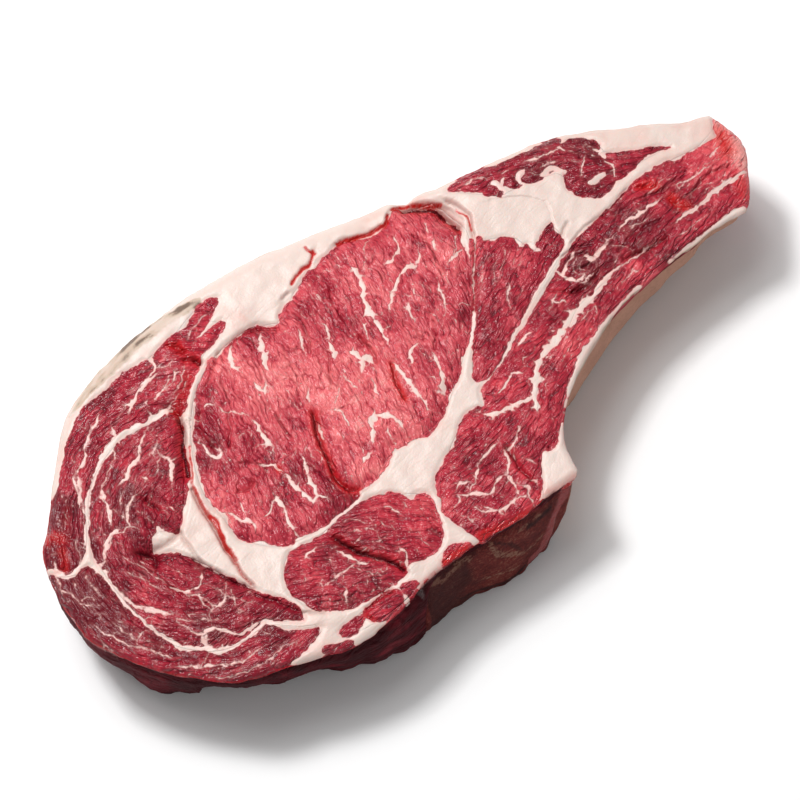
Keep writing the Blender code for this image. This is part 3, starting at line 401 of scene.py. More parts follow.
        (0.8, 1.5, (190, 548, 203, 565, 220, 575)), (1.4, 0.5, (225, 582, 226, 560, 224, 548)),
        (0.6, 1.5, (360, 565, 355, 585, 357, 600)), (1.3, 0.4, (357, 600, 362, 612)),
        (0.5, 1.1, (457, 522, 470, 542, 483, 560)), (1, 0.4, (483, 560, 505, 573)),
        (0.5, 1, (540, 535, 552, 560, 565, 590)), (0.5, 1.3, (430, 632, 446, 628, 458, 645)),
        (1.2, 0.7, (458, 645, 468, 665, 482, 683)), (0.6, 1.6, (384, 668, 388, 688, 394, 705)),
        (1.4, 0.4, (394, 705, 402, 722)), (1, 2.4, (545, 735, 548, 710, 548, 690)),
        (2.4, 1.8, (548, 690, 540, 665, 560, 655)), (1.6, 1.3, (560, 655, 590, 652, 615, 662)),
        (1.3, 0.8, (615, 662, 628, 676, 642, 692)), (1, 0.6, (590, 685, 605, 720)),
        (1.8, 0.5, (532, 772, 525, 790, 518, 800)), (1.2, 0.4, (532, 772, 548, 762)),
        (0.6, 1.6, (183, 657, 195, 675, 210, 697)), (1.8, 1.2, (210, 697, 228, 722, 245, 742)),
        (0.8, 0.3, (245, 742, 262, 765)), (0.7, 0.4, (268, 645, 268, 670)),
        (0.8, 1.1, (205, 795, 230, 803, 255, 800, 275, 815)), (0.8, 1.6, (282, 822, 305, 848, 332, 872)),
        (1.8, 1.5, (332, 872, 352, 890, 370, 908)), (0.8, 1.5, (332, 768, 345, 798, 358, 828)),
        (1.4, 2.2, (358, 828, 372, 860, 385, 888)), (2, 0.8, (385, 888, 402, 893, 418, 897)),
        (1.8, 1.2, (372, 908, 378, 895, 385, 888)), (0.8, 0.4, (318, 745, 318, 760, 305, 765)),
        (0.7, 1.8, (258, 882, 266, 905, 284, 930)), (1.5, 1.2, (284, 930, 298, 965, 318, 995)),
        (1, 0.5, (318, 995, 338, 1014)), (0.8, 0.5, (255, 905, 240, 935, 215, 950)),
        (0.8, 1.3, (33, 728, 45, 748, 62, 766)), (1.4, 1.2, (62, 766, 85, 772, 97, 756)),
        (1.1, 0.5, (97, 756, 94, 738)), (0.6, 1, (36, 625, 55, 615, 78, 620)),
        (0.5, 0.4, (78, 620, 100, 640, 130, 640, 160, 645, 185, 655)), (0.6, 0.5, (62, 590, 70, 610)),
        (0.8, 1.4, (108, 940, 140, 958, 188, 970)), (1, 0.5, (188, 970, 196, 1000)),
        (0.7, 0.5, (150, 920, 165, 945)), (0.5, 0.3, (395, 215, 420, 210)), (0.5, 0.3, (455, 290, 475, 300)),
        (0.4, 0.3, (240, 600, 265, 590, 290, 610)), (0.4, 0.3, (225, 535, 240, 570, 235, 600)),
        (0.4, 0.3, (600, 720, 640, 715, 680, 700)), (0.4, 0.4, (205, 740, 230, 730, 250, 736)),
        (0.5, 0.4, (445, 560, 440, 600, 430, 632)), (0.4, 0.3, (700, 340, 730, 345, 745, 370)),
    )),
)
# Folds read the same way: width, depth, how far the left side stands above, wet red, then the line. Red
# above 1 colours fat too. The depth also sets the painted shade in them
SHOT_FOLDS = (
    (EYE, (
        (0.4, 0.5, 0, 3.6, (800, 28, 830, 52, 846, 90)),
        (0.35, 0.7, 0.1, 0.2, (846, 90, 854, 140, 854, 220, 852, 330)),
        (0.6, 0.6, 0.2, 3.4, (604, 25, 640, 10, 700, 6, 750, 8)), (0.4, 0.4, 0, 1, (262, 806, 268, 814)),
        (0.5, 0.9, 0.3, 0.1, (118, 640, 122, 690, 120, 740)),
        (0.5, 0.9, -0.3, 0.1, (85, 455, 70, 500, 45, 560)),
    )),
    (CAP_TOP, (
        (0.2, 0.4, 0, 3.4, (598, 430, 604, 500, 612, 560, 630, 620, 655, 670, 672, 705)),
        (0.9, 0.5, 0.1, 4.5, (678, 705, 700, 722, 712, 750, 722, 780, 738, 815, 755, 838)),
        (1.2, 0.7, 0, 0.6, (545, 25, 570, 60, 610, 75, 632, 95)), (0.9, 1.6, 0, 0.3, (618, 76, 640, 88)),
        (1.2, 0.5, 0.3, 0.6, (596, 150, 580, 200, 560, 250, 556, 300, 570, 345)),
        (0.5, 1, 0.2, 0, (555, 760, 580, 800, 620, 850, 640, 880)),
        (0.9, 1.4, 0.3, 0.1, (556, 772, 520, 805, 490, 822, 452, 846)),
        (1.2, 0.3, 0, 0.7, (25, 800, 60, 795, 90, 800)), (0.8, 0.3, 0, 0.7, (90, 850, 100, 880, 95, 920)),
    )),
    (CAP_BOTTOM, (
        (0.3, 0.3, 0, 4, (732, 0, 748, 35, 770, 65)),
        (0.1, 0.3, 0, 3.4, (770, 65, 790, 100, 810, 140, 845, 175)),
        (0.8, 1.5, 0.6, 0.1, (620, 78, 660, 104, 700, 128, 760, 160, 850, 196)),
        (0.7, 1.3, 0.6, 0.1, (870, 226, 950, 246, 1030, 284)),
        (0.5, 1.1, 0, 0.1, (1052, 296, 1090, 290, 1140, 292)),
    )),
    (CHINE, (
        (0.5, 0.8, 0.3, 0, (550, 130, 580, 180, 610, 220, 640, 250)),
        (0.9, 0.2, 0, 1, (660, 372, 700, 346, 748, 318)), (0.8, 0.2, 0, 1, (570, 468, 612, 434, 650, 402)),
        (0.5, 0, 0, 1, (1050, 102, 1120, 64, 1190, 24)),
        (0.8, 0.3, 0, 0.9, (800, 262, 860, 235, 930, 205, 1000, 160)),
        (0.5, 0.3, 0, 0.6, (350, 590, 380, 605, 340, 580)),
    )),
    (TAIL, (
        (1.1, 0.4, 0.3, 1, (806, 300, 830, 298, 858, 304)), (1, 0.5, 0.3, 1, (925, 350, 950, 378, 985, 386)),
        (0.7, 0.9, 0.4, 0.2, (740, 592, 800, 570, 860, 540, 905, 512)),
        (0.4, 0.4, 0.2, 0.1, (525, 530, 570, 475, 660, 405, 750, 315)),
        (0.3, 0.3, 0.2, 0, (200, 368, 330, 348, 420, 368, 440, 405, 450, 440)),
        (0.6, 0.9, 0, 0, (492, 500, 500, 470, 510, 450)),
        (0.5, 0.8, 0.4, 0, (483, 646, 514, 592, 575, 569, 621, 592)),
        (0.5, 0.8, 0.4, 0, (498, 677, 552, 631, 606, 615)),
        (0.5, 0.8, 0.4, 0, (491, 585, 537, 546, 606, 538)),
        (0.6, 1, -0.5, 0.1, (440, 720, 520, 730, 600, 690, 640, 640)),
        (2.2, 0.2, 0, 0.95, (1120, 90, 1140, 130, 1150, 160)), (1.6, 0.2, 0, 0.6, (1205, 280, 1215, 330)),
    )),
)
# Meat that narrows the fat, read the same way: width at the start and at the end, then the line
SHOT_MEAT = (
    (TAIL, (
        (3.3, 3.3, (191, 331, 237, 338)), (3.5, 3.4, (260, 292, 306, 300)), (4.2, 3.6, (345, 277, 406, 254)),
        (4.6, 4.8, (521, 231, 529, 292, 575, 323, 637, 318)), (4.6, 3, (637, 318, 675, 290, 690, 250)),
    )),
    (EYE, ((2, 1.8, (868, 118, 864, 200, 861, 330)), (1.6, 1.6, (844, 118, 843, 200, 842, 300)))),
    (CHINE, ((1.6, 2.6, (580, 462, 615, 428, 652, 398)), (3.4, 4, (664, 368, 700, 342, 744, 316)))),
)
# Dry skin on the upper face, read the same way: width at the start and at the end, then the line
SHOT_SKINS = (
    (CAP_TOP, (
        (1.5, 4.6, (112, 296, 170, 224, 215, 166)), (5, 6.4, (215, 166, 270, 116, 335, 52, 400, -4)),
        (6.4, 3.6, (400, -4, 480, -64, 560, -110, 620, -146)),
    )),
)
# The sawn wall leans out by this much for each millimetre down, and stands here on the floor
WALL_LEAN = 0.195
WALL_FOOT = -64.2
# Marks on that wall, read the same way: what they show, their width, then the line
SHOT_WALL = (
    (Mark.PALE, 2.2, (760, 330, 810, 300, 850, 310, 880, 340, 930, 335, 980, 322, 1040, 290, 1075, 250)),
    (Mark.PALE, 2.6, (610, 468, 680, 440, 720, 400, 770, 370)),
    (Mark.PALE, 1.2, (960, 250, 1010, 215, 1060, 180)), (Mark.PALE, 1, (820, 440, 880, 420, 950, 385)),
    (Mark.DARK, 1.2, (870, 300, 920, 298, 955, 318)),
    (Mark.DARK, 2.6, (780, 295, 880, 255, 960, 215, 1040, 160, 1100, 100)),
    (Mark.DARK, 3, (1010, 225, 1060, 190, 1095, 160)),
    (Mark.DARK, 2.4, (745, 535, 840, 490, 950, 430, 985, 385)),
    (Mark.DARK, 1.6, (640, 330, 600, 420, 560, 470, 500, 520)),
    (Mark.FLESH, 5.4, (1195, 50, 1165, 120, 1128, 200, 1110, 260, 1095, 312, 1040, 352)),
    (Mark.FLESH, 3, (645, 352, 690, 335, 738, 318)), (Mark.FLESH, 3, (575, 442, 610, 420, 640, 400)),
    (Mark.FLESH, 2, (800, 268, 880, 240, 960, 205, 1040, 145)),
)
# Places and the tone of the meat there: 0 is deep crimson, 1 is pale pink
TONES = np.array((
    (-60, 33, 0.25), (-60, 26, 0.2), (-58, 10, 0.42), (-66, 4, 0.62), (-66, -8, 0.55), (-55, -12, 0.5),
    (-48, 22, 0.5), (-50, 5, 0.4), (-38, 42, 0.72), (-28, 47, 0.35), (-20, 42, 0.6), (-30, 30, 0.7),
    (-38, 15, 0.6), (-45, -6, 0.34), (-35, -16, 0.26), (-20, 20, 0.72), (-16, 5, 0.77), (-22, -12, 0.68),
    (-8, -6, 0.7), (-6, 45, 0.4), (0, 36, 0.45), (-5, 20, 0.68), (2, 2, 0.66), (8, 50, 0.5), (14, 30, 0.56),
    (12, 10, 0.62), (28, 50, 0.6), (25, 38, 0.58), (30, 22, 0.56), (26, 8, 0.52), (42, 48, 0.5),
    (44, 32, 0.6), (48, 40, 0.5), (-70, 36, 0.28), (-84, 36, 0.38), (-98, 30, 0.23), (-105, 15, 0.28),
    (-100, 6, 0.08), (-88, 20, 0.18), (-80, 14, 0.26), (-106, -10, 0.26), (-98, -20, 0.2), (-92, -14, 0.24),
    (-84, -30, 0.2), (-60, 56, 0.34), (-75, 55, 0.24), (-90, 50, 0.3), (-104, 40, 0.34), (-112, 28, 0.18),
    (-40, 58, 0.4), (-124, 18, 0), (-127, 4, -0.12), (-120, -6, 0.05), (-116, -22, 0.18), (-104, -40, 0.22),
    (-90, -48, 0.2), (-78, -48, 0.2), (-60, -32, 0.4), (-45, -30, 0.24), (-30, -28, 0.52), (-30, -42, 0.4),
    (-50, -44, 0.26), (-18, -38, 0.55), (38, 0, 0.34), (48, 12, 0.36), (60, 20, 0.4), (72, 16, 0.32),
    (26, -14, 0.5), (45, -10, 0.45), (65, -4, 0.24), (85, 4, 0.08), (100, 2, 0.08), (120, 6, 0.22),
    (138, 8, 0.6), (148, 10, 1.05), (8, -30, 0.3), (24, -30, 0.33), (0, -46, 0.36), (18, -46, 0.38),
    (60, -16, 0.5), (90, -8, 0.5), (125, -5, 0.5), (60, 52, 0.42), (70, 50, 0.3), (85, 45, 0.06),
    (104, 36, 0.1), (115, 27, 0.34),
), float)
# Places and the direction of the grain there, in degrees from X
GRAINS = np.array((
    (-60, 30, 70), (-55, 12, 50), (-62, 0, 35), (-60, -12, 70), (-50, 40, 60), (-42, 30, 80), (-35, 20, 85),
    (-48, -4, 75), (-38, -12, 98), (-26, 40, 112), (-28, 25, 108), (-20, 12, 70), (-18, -8, 80), (-5, 45, 98),
    (-3, 30, 80), (-6, 12, 60), (0, -4, 85), (12, 45, 95), (14, 25, 80), (14, 4, 78), (28, 48, 100),
    (30, 30, 70), (28, 12, 60), (44, 45, 95), (44, 28, 70), (-70, 36, 60), (-85, 36, 28), (-98, 30, 48),
    (-106, 15, 68), (-100, 0, 110), (-106, -10, 112), (-98, -22, 128), (-90, -14, 118), (-82, -30, 140),
    (-88, 20, 80), (-80, 14, 60), (-45, 58, 20), (-60, 54, 14), (-78, 52, 18), (-92, 48, 38), (-106, 36, 60),
    (-116, 24, 70), (-124, 16, 70), (-126, 2, 100), (-118, -16, 115), (-108, -36, 142), (-92, -46, 165),
    (-76, -48, 178), (-60, -32, 120), (-52, -40, 60), (-40, -30, 150), (-30, -42, 110), (-22, -36, 100),
    (30, -6, 30), (45, 8, 50), (60, 20, 25), (74, 16, 20), (28, -18, 20), (48, -10, 25), (68, 0, 22),
    (90, 6, 8), (115, 8, 4), (140, 8, 3), (8, -30, 150), (22, -36, 60), (2, -46, 130), (16, -48, 80),
    (52, -20, 30), (72, -12, 14), (100, -7, 3), (128, -4, 2), (66, 51, 170), (88, 45, 160), (106, 36, 140),
    (116, 27, 160), (0, 64, 175), (-50, 68, 6), (-80, 0, 100), (70, 34, 150), (-74, -40, 150),
), float)
# Folds and gaps of the upper face: width, depth, how far the left side stands above, wet red, then the line.
# The depth also sets the painted shade in them
FOLDS = (
    (0.9, 1.6, -0.9, 0.9, (-26.5, 13, -29, 7, -30.8, 2, -32.2, -5, -33.3, -10, -32.4, -15, -30, -17.5)),
    (0.7, 1.2, -0.6, 1, (4.6, 12, 2.6, 7, 1.6, 3, 1.3, -1)),
    (0.7, 0.9, -0.6, 0.2, (-36, 48.8, -30, 49.6, -25, 49.2, -22, 47.4, -19.5, 44.8)),
    (0.5, 0.8, 0.4, 0.1, (-57.5, 35, -60, 31, -61, 26, -60.3, 22)),
    (0.5, 0.7, -0.4, 0, (-45, 40, -46.5, 34, -48, 29)), (0.5, 0.7, 0.4, 0, (-37, 20, -37.6, 15, -37.4, 10)),
    (0.6, 0.8, 0.4, 0, (-12, 46, -11.4, 40, -12.4, 35, -15, 31)),
    (0.5, 0.7, -0.4, 0.1, (3, 46, 1, 41, 0.6, 35)), (0.6, 0.9, 0.5, 0.3, (1.6, 26, 2.4, 21, 1.6, 15)),
    (0.5, 0.7, 0.3, 0, (-10, 27, -14, 21, -17, 16)), (0.5, 0.6, 0.3, 0, (-56, 12, -52, 9, -50, 5)),
    (0.6, 0.9, -0.5, 0.2, (-62, 4, -58, 3, -55.6, 4.6)), (0.5, 0.7, 0.4, 0, (-38, -2, -36.5, -8, -36.5, -14)),
    (0.5, 0.6, 0.3, 0, (16, 24, 18, 18, 19, 12)), (0.5, 0.7, -0.4, 0, (38, 46, 40, 40, 39, 33)),
    (0.5, 0.6, 0.3, 0, (26, 20, 24, 13, 20, 8)),
    (1, 2, 0.8, 0.4, (-45, -27.5, -44, -30, -42.4, -33.5, -40, -37.5, -37, -41, -34, -44.5, -32.4, -48.5)),
    (0.7, 1, -0.6, 0.9, (-64.5, 40.6, -63.2, 37.6, -65, 33.4)),
    (0.9, 2.2, 0, 0.5, (-64, 36.4, -66, 32, -69, 27, -71, 22, -73, 18.5)),
    (0.5, 2.2, 0.3, 0.9, (-74, 14, -75, 8, -75.3, 3, -76, -3, -76.5, -9, -76.3, -15, -76.8, -20, -76, -25)),
    (0.8, 0.2, 0, 2.6, (-72.4, 17, -73.4, 13, -74.2, 8, -74.4, 3, -75, -3, -75.5, -9, -75.3, -15)),
    (1, 1.6, 0.4, 0.1, (-101, 6, -99, 3.4, -97.6, 0.6, -99, -2)),
    (0.9, 1.4, 0, 0.1, (-88.6, 19, -88, 16.5, -87.2, 14)),
    (0.5, 0.6, 0.3, 0.2, (-112, 31, -115, 27, -117.6, 21)),
    (0.5, 0.6, 0.3, 0.1, (-100, -6, -97, -14, -92, -22)),
    (0.6, 0.9, 0.5, 0.9, (-52, 60.4, -50, 58.6, -49.4, 55.5)),
    (0.7, 1, 0.3, 0.6, (-51, 53, -48.6, 51.8, -47, 50.2)),
    (0.6, 0.8, 0.3, 4, (-6, 55.6, -3, 57, 0, 57.6, 5, 59, 7, 61)),
    (0.6, 0.9, 0.5, 0.1, (-11.4, 53, -8.8, 53.6)), (0.5, 0.6, 0.2, 3.6, (5.4, 64, 5.8, 62, 7, 60)),
    (0.7, 0.9, 0.4, 4, (15, 59, 21, 57.6, 27, 55.8, 32, 55.6, 35, 57.8)),
    (1.3, 2.2, 0.6, 0.9, (41, 57, 46, 54.8, 50, 51.4, 52, 46.8, 52.6, 40.4)),
    (0.6, 0.9, 0.5, 0.5, (54.6, 51, 57, 46, 57.6, 41, 55, 34.5)),
    (0.4, 0.5, 0.3, 0.3, (50, 53, 54, 48, 55.2, 42)),
    (0.9, 1.3, -0.7, 0.3, (19.5, -34.6, 19, -40, 19.8, -47.5)),
    (0.5, 0.7, 0.4, 0.9, (117.5, 6.4, 117.8, 4.4)), (0.6, 0.8, 0.4, 0.9, (111.4, 17.6, 114.4, 16.6)),
    (0.6, 0.8, 0.4, 0, (100, 13, 108, 13.6, 116, 11.4, 124, 12.4)),
    (0.6, 0.8, -0.4, 0, (92, 1.4, 100, 3.6, 110, 3)), (0.6, 0.8, 0.4, 0.1, (126, 5, 134, 6.6, 142, 5.6)),
    (0.5, 0.7, 0.3, 0, (70, -1.4, 76, -2, 84, 0)), (0.5, 0.7, -0.3, 0, (50, -9.4, 58, -6.6, 66, -3.6)),
    (0.7, 1, 0, 0.4, (-40, -52.6, -44, -52, -50, -53)),
)
# Places, then how brown and dry, how dark in painted shade (partly the wall's own darker meat), and how wet
# and red the rim and wall are there. The darkness also marks where the wall is meat and undercut
SIDES = np.array((
    (140, 30, 0.3, 0.1, 0.1), (100, 49, 0.35, 0.1, 0.1), (60, 56, 0.3, 0.1, 0.1), (36, 62, 0.05, 0, 0.3),
    (10, 67, 0.2, 0, 0.1), (-45, 72, 0.45, 0.05, 0), (-70, 69, 0.6, 0.1, 0), (-86, 64, 0.9, 0.25, 0),
    (-97, 58, 0.4, 0.1, 0.1), (-107, 46, 0.3, 0.1, 0.2), (-117, 34, 0.35, 0.2, 0.4),
    (-124, 26, 0.15, 0.2, 0.9), (-131.5, 6, 0, 0.3, 0.9), (-130, -6, 0, 0.3, 0.8), (-120, -27, 0, 0.5, 0.6),
    (-108, -41, 0, 0.6, 0.7), (-93, -51.6, 0, 0.65, 0.7), (-76, -57, 0.1, 0.7, 0.5),
    (-60, -61, 0.3, 0.75, 0.4), (-45, -60, 0.2, 0.8, 0.5), (-22, -56, 0.15, 0.85, 0.8),
    (4, -56, 0.1, 0.85, 1), (22, -56, 0.1, 0.8, 1), (36, -50, 0.1, 0.3, 0.9), (49, -30, 0.4, 0.1, 0),
    (83, -14.6, 0.5, 0.1, 0), (114, -11.5, 0.5, 0.15, 0), (136, -12, 0.3, 0.2, 0.4), (147, 1, 0, 0.05, 0.9),
    (151, 14, 0, 0.05, 0.9),
))
# Wide hollows of the upper face: place, radius and depth
HOLLOWS = (
    (51, 46.5, 5, 4), (45, 53, 5, 2), (-98.5, 2, 4.5, 3.6), (-88, 17, 4, 1.6), (-23, 48.5, 4, 1.4),
    (26, 56.5, 5, 1.4), (-60, -57.5, 6, 1.4),
)


def smooth_step(value: Array) -> Array:
    """0 below 0, 1 above 1, and smooth between."""
    t = np.clip(value, 0.0, 1.0)
    return t * t * (3.0 - 2.0 * t)


def pairs(flat: tuple) -> Array:
    """A flat run of x and y as rows of points."""
    return np.array(flat, float).reshape(-1, 2)


def curve(flat: tuple, step: float, closed: bool = False) -> Array:
    """A smooth line through points.

    Args:
        flat: x and y of each point in turn, in millimetres.
        step: Distance between the points of the result.
        closed: Whether the line joins up with its start.

    Returns:
        The points along the line, one a row.
    """
    knots = pairs(flat)
    count = len(knots)
    fine = []
    t = np.linspace(0.0, 1.0, 9)[:-1, None]
    for i in range(count if closed else count - 1):
        picks = [i - 1, i, i + 1, i + 2]
        before, start, end, after = (
            knots[k % count] if closed else knots[min(max(k, 0), count - 1)] for k in picks
        )
        span = np.linalg.norm(end - start)
        into = span * (end - before) / (span + np.linalg.norm(start - before) + 1e-9)
        out = span * (after - start) / (span + np.linalg.norm(after - end) + 1e-9)
        fine.append(
            (2 * t**3 - 3 * t**2 + 1) * start + (t**3 - 2 * t**2 + t) * into
            + (3 * t**2 - 2 * t**3) * end + (t**3 - t**2) * out
        )
    line = np.concatenate([*fine, [fine[0][0] if closed else knots[-1]]])
    along = np.concatenate([[0.0], np.cumsum(np.linalg.norm(np.diff(line, axis=0), axis=1))])
    places = np.linspace(0.0, along[-1], max(2, round(along[-1] / step)) + 1)
    return np.stack([np.interp(places, along, line[:, axis]) for axis in (0, 1)], axis=1)


def dice(i: Array, j: Array, seed: int) -> Array:
    """A fixed number from -1 to 1 for each whole-numbered place.

    Args:
        i: Columns of the places.
        j: Their rows.
        seed: Which of the many layouts.

    Returns:
        One number for each place.
    """
    n = (i.astype(np.int64) * 374761393 + j.astype(np.int64) * 668265263 + seed * 1442695041) & 0xFFFFFFFF
    n = ((n ^ (n >> 13)) * 1274126177) & 0xFFFFFFFF
    return ((n ^ (n >> 16)) & 0xFFFF) / 32767.5 - 1.0


def drift(x: Array, y: Array, size: float, seed: int) -> Array:
    """Smooth uneven values from -1 to 1 whose lumps are about the given size.

    Args:
        x: x of the points.
        y: y of the points.
        size: Size of the lumps.
        seed: Which of the many layouts.

    Returns:
        One value for each point.
    """
    u, v = x / size, y / size
    i, j = np.floor(u), np.floor(v)
    s, t = smooth_step(u - i), smooth_step(v - j)
    low = dice(i, j, seed) * (1 - s) + dice(i + 1, j, seed) * s
    high = dice(i, j + 1, seed) * (1 - s) + dice(i + 1, j + 1, seed) * s
    return low * (1 - t) + high * t


def layered(x: Array, y: Array, size: float, seed: int, count: int = 3) -> Array:
    """Drifts of ever finer sizes, added up.

    Args:
        x: x of the points.
        y: y of the points.
        size: Size of the largest lumps.
        seed: Seed of the first drift.
        count: How many drifts.

    Returns:
        One value for each point.
    """
    total = np.zeros(np.shape(x))
    turn_cos, turn_sin = math.cos(0.6), math.sin(0.6)
    for k in range(count):
        total += drift(x, y, size * 0.5**k, seed + k) * 0.55**k
        x, y = turn_cos * x - turn_sin * y + 7.3, turn_sin * x + turn_cos * y - 4.1
    return total / sum(0.55**k for k in range(count))


def blend_places(table: Array, values: Array, x: Array, y: Array, reach: float) -> Array:
    """Values that belong to places, blended over other points.

    Args:
        table: x and y of each place in its first two columns.
        values: One row of values for each place.
        x: x of the points.
        y: y of the points.
        reach: Distance within which a place's own value holds.

    Returns:
        The blended values, one row for each point.
    """
    total = np.zeros((*np.shape(x), values.shape[1]))
    weights = np.zeros(np.shape(x))
    for place, value in zip(table, values):
        weight = 1.0 / ((x - place[0]) ** 2 + (y - place[1]) ** 2 + reach**2) ** 2
        weights += weight
        total += weight[..., None] * value
    return total / weights[..., None]


def mixed(x: Array, y: Array, seed: int, *parts: tuple[float, float]) -> Array:
    """Drifts of several sizes, added up.

    Args:
        x: x of the points.
        y: y of the points.
        seed: Seed of the first drift. Each further one takes the next.
        parts: Strength and size of each drift.

    Returns:
        One value for each point.
    """
    return sum(strength * drift(x, y, size, seed + k) for k, (strength, size) in enumerate(parts))


def face_height(x: Array, y: Array) -> Array:
    """Height of the upper cut face before its rounding and relief, in millimetres."""
    tail = smooth_step((x - TAIL_START_X) / (TAIL_END_X - TAIL_START_X))
    return THICKNESS - TAIL_TOP_DROP * tail + 0.5 * np.sin(x / 19.0 + 0.6) * np.sin(y / 15.0 + 1.1)


@dataclass(frozen=True)
class Viewpoint:
    """Where the photograph was taken from, seen from the steak, and how its pixels fall on the cut face."""

    look_at: tuple = (-0.01055, -0.00513, 0.042)
    heading: float = -35.0
    pitch: float = 70.0
    distance: float = 1.0
    lens: float = 135.0
    sensor: float = 36.0
    pixels: float = 800.0

    def direction(self, heading: float, pitch: float) -> Array:
        """The direction with a heading from X and a pitch above the floor."""
        a, e = math.radians(heading), math.radians(pitch)
        return np.array((math.cos(a) * math.cos(e), math.sin(a) * math.cos(e), math.sin(e)))

    def back(self) -> Array:
        """The direction from the steak to the camera."""
        return self.direction(self.heading - 90.0, self.pitch)

    def plan(self, shot: Shot, flat: tuple) -> tuple:
        """Places on the cut face of a line that was read from the photograph.

        Args:
            shot: The enlarged part of the photograph.
            flat: x and y of each point in turn, in pixels of the enlarged part.

        Returns:
            x and y of each point in turn, in millimetres of the plan.
        """
        places = self.meet(shot, flat, np.array((0.0, 0.0, 1.0)), THICKNESS - 0.5)
        return tuple(places[:, :2].ravel())

    def meet(self, shot: Shot, flat: tuple, normal: Array, offset: float) -> Array:
        """Where a line that was read from the photograph lies on a flat surface.

        Args:
            shot: The enlarged part of the photograph.
            flat: x and y of each point in turn, in pixels of the enlarged part.
            normal: The direction that the surface faces.
            offset: Its distance from the plan's origin, in millimetres along that direction.

        Returns:
            The points' places in millimetres, one a row.
        """
        at = pairs(flat) / shot.scale + (shot.left, shot.top)
        share = (at - 0.5 * self.pixels) / self.pixels * self.sensor / self.lens
        back, right = self.back(), self.direction(self.heading, 0.0)
        up = np.cross(back, right)
        rays = share[:, :1] * right - share[:, 1:] * up - back
        start = (np.array(self.look_at) + back * self.distance) / MM
        start[:2] += PLAN_CENTRE
        travel = (offset - start @ normal) / (rays @ normal)
        return start + travel[:, None] * rays


PHOTO = Viewpoint()


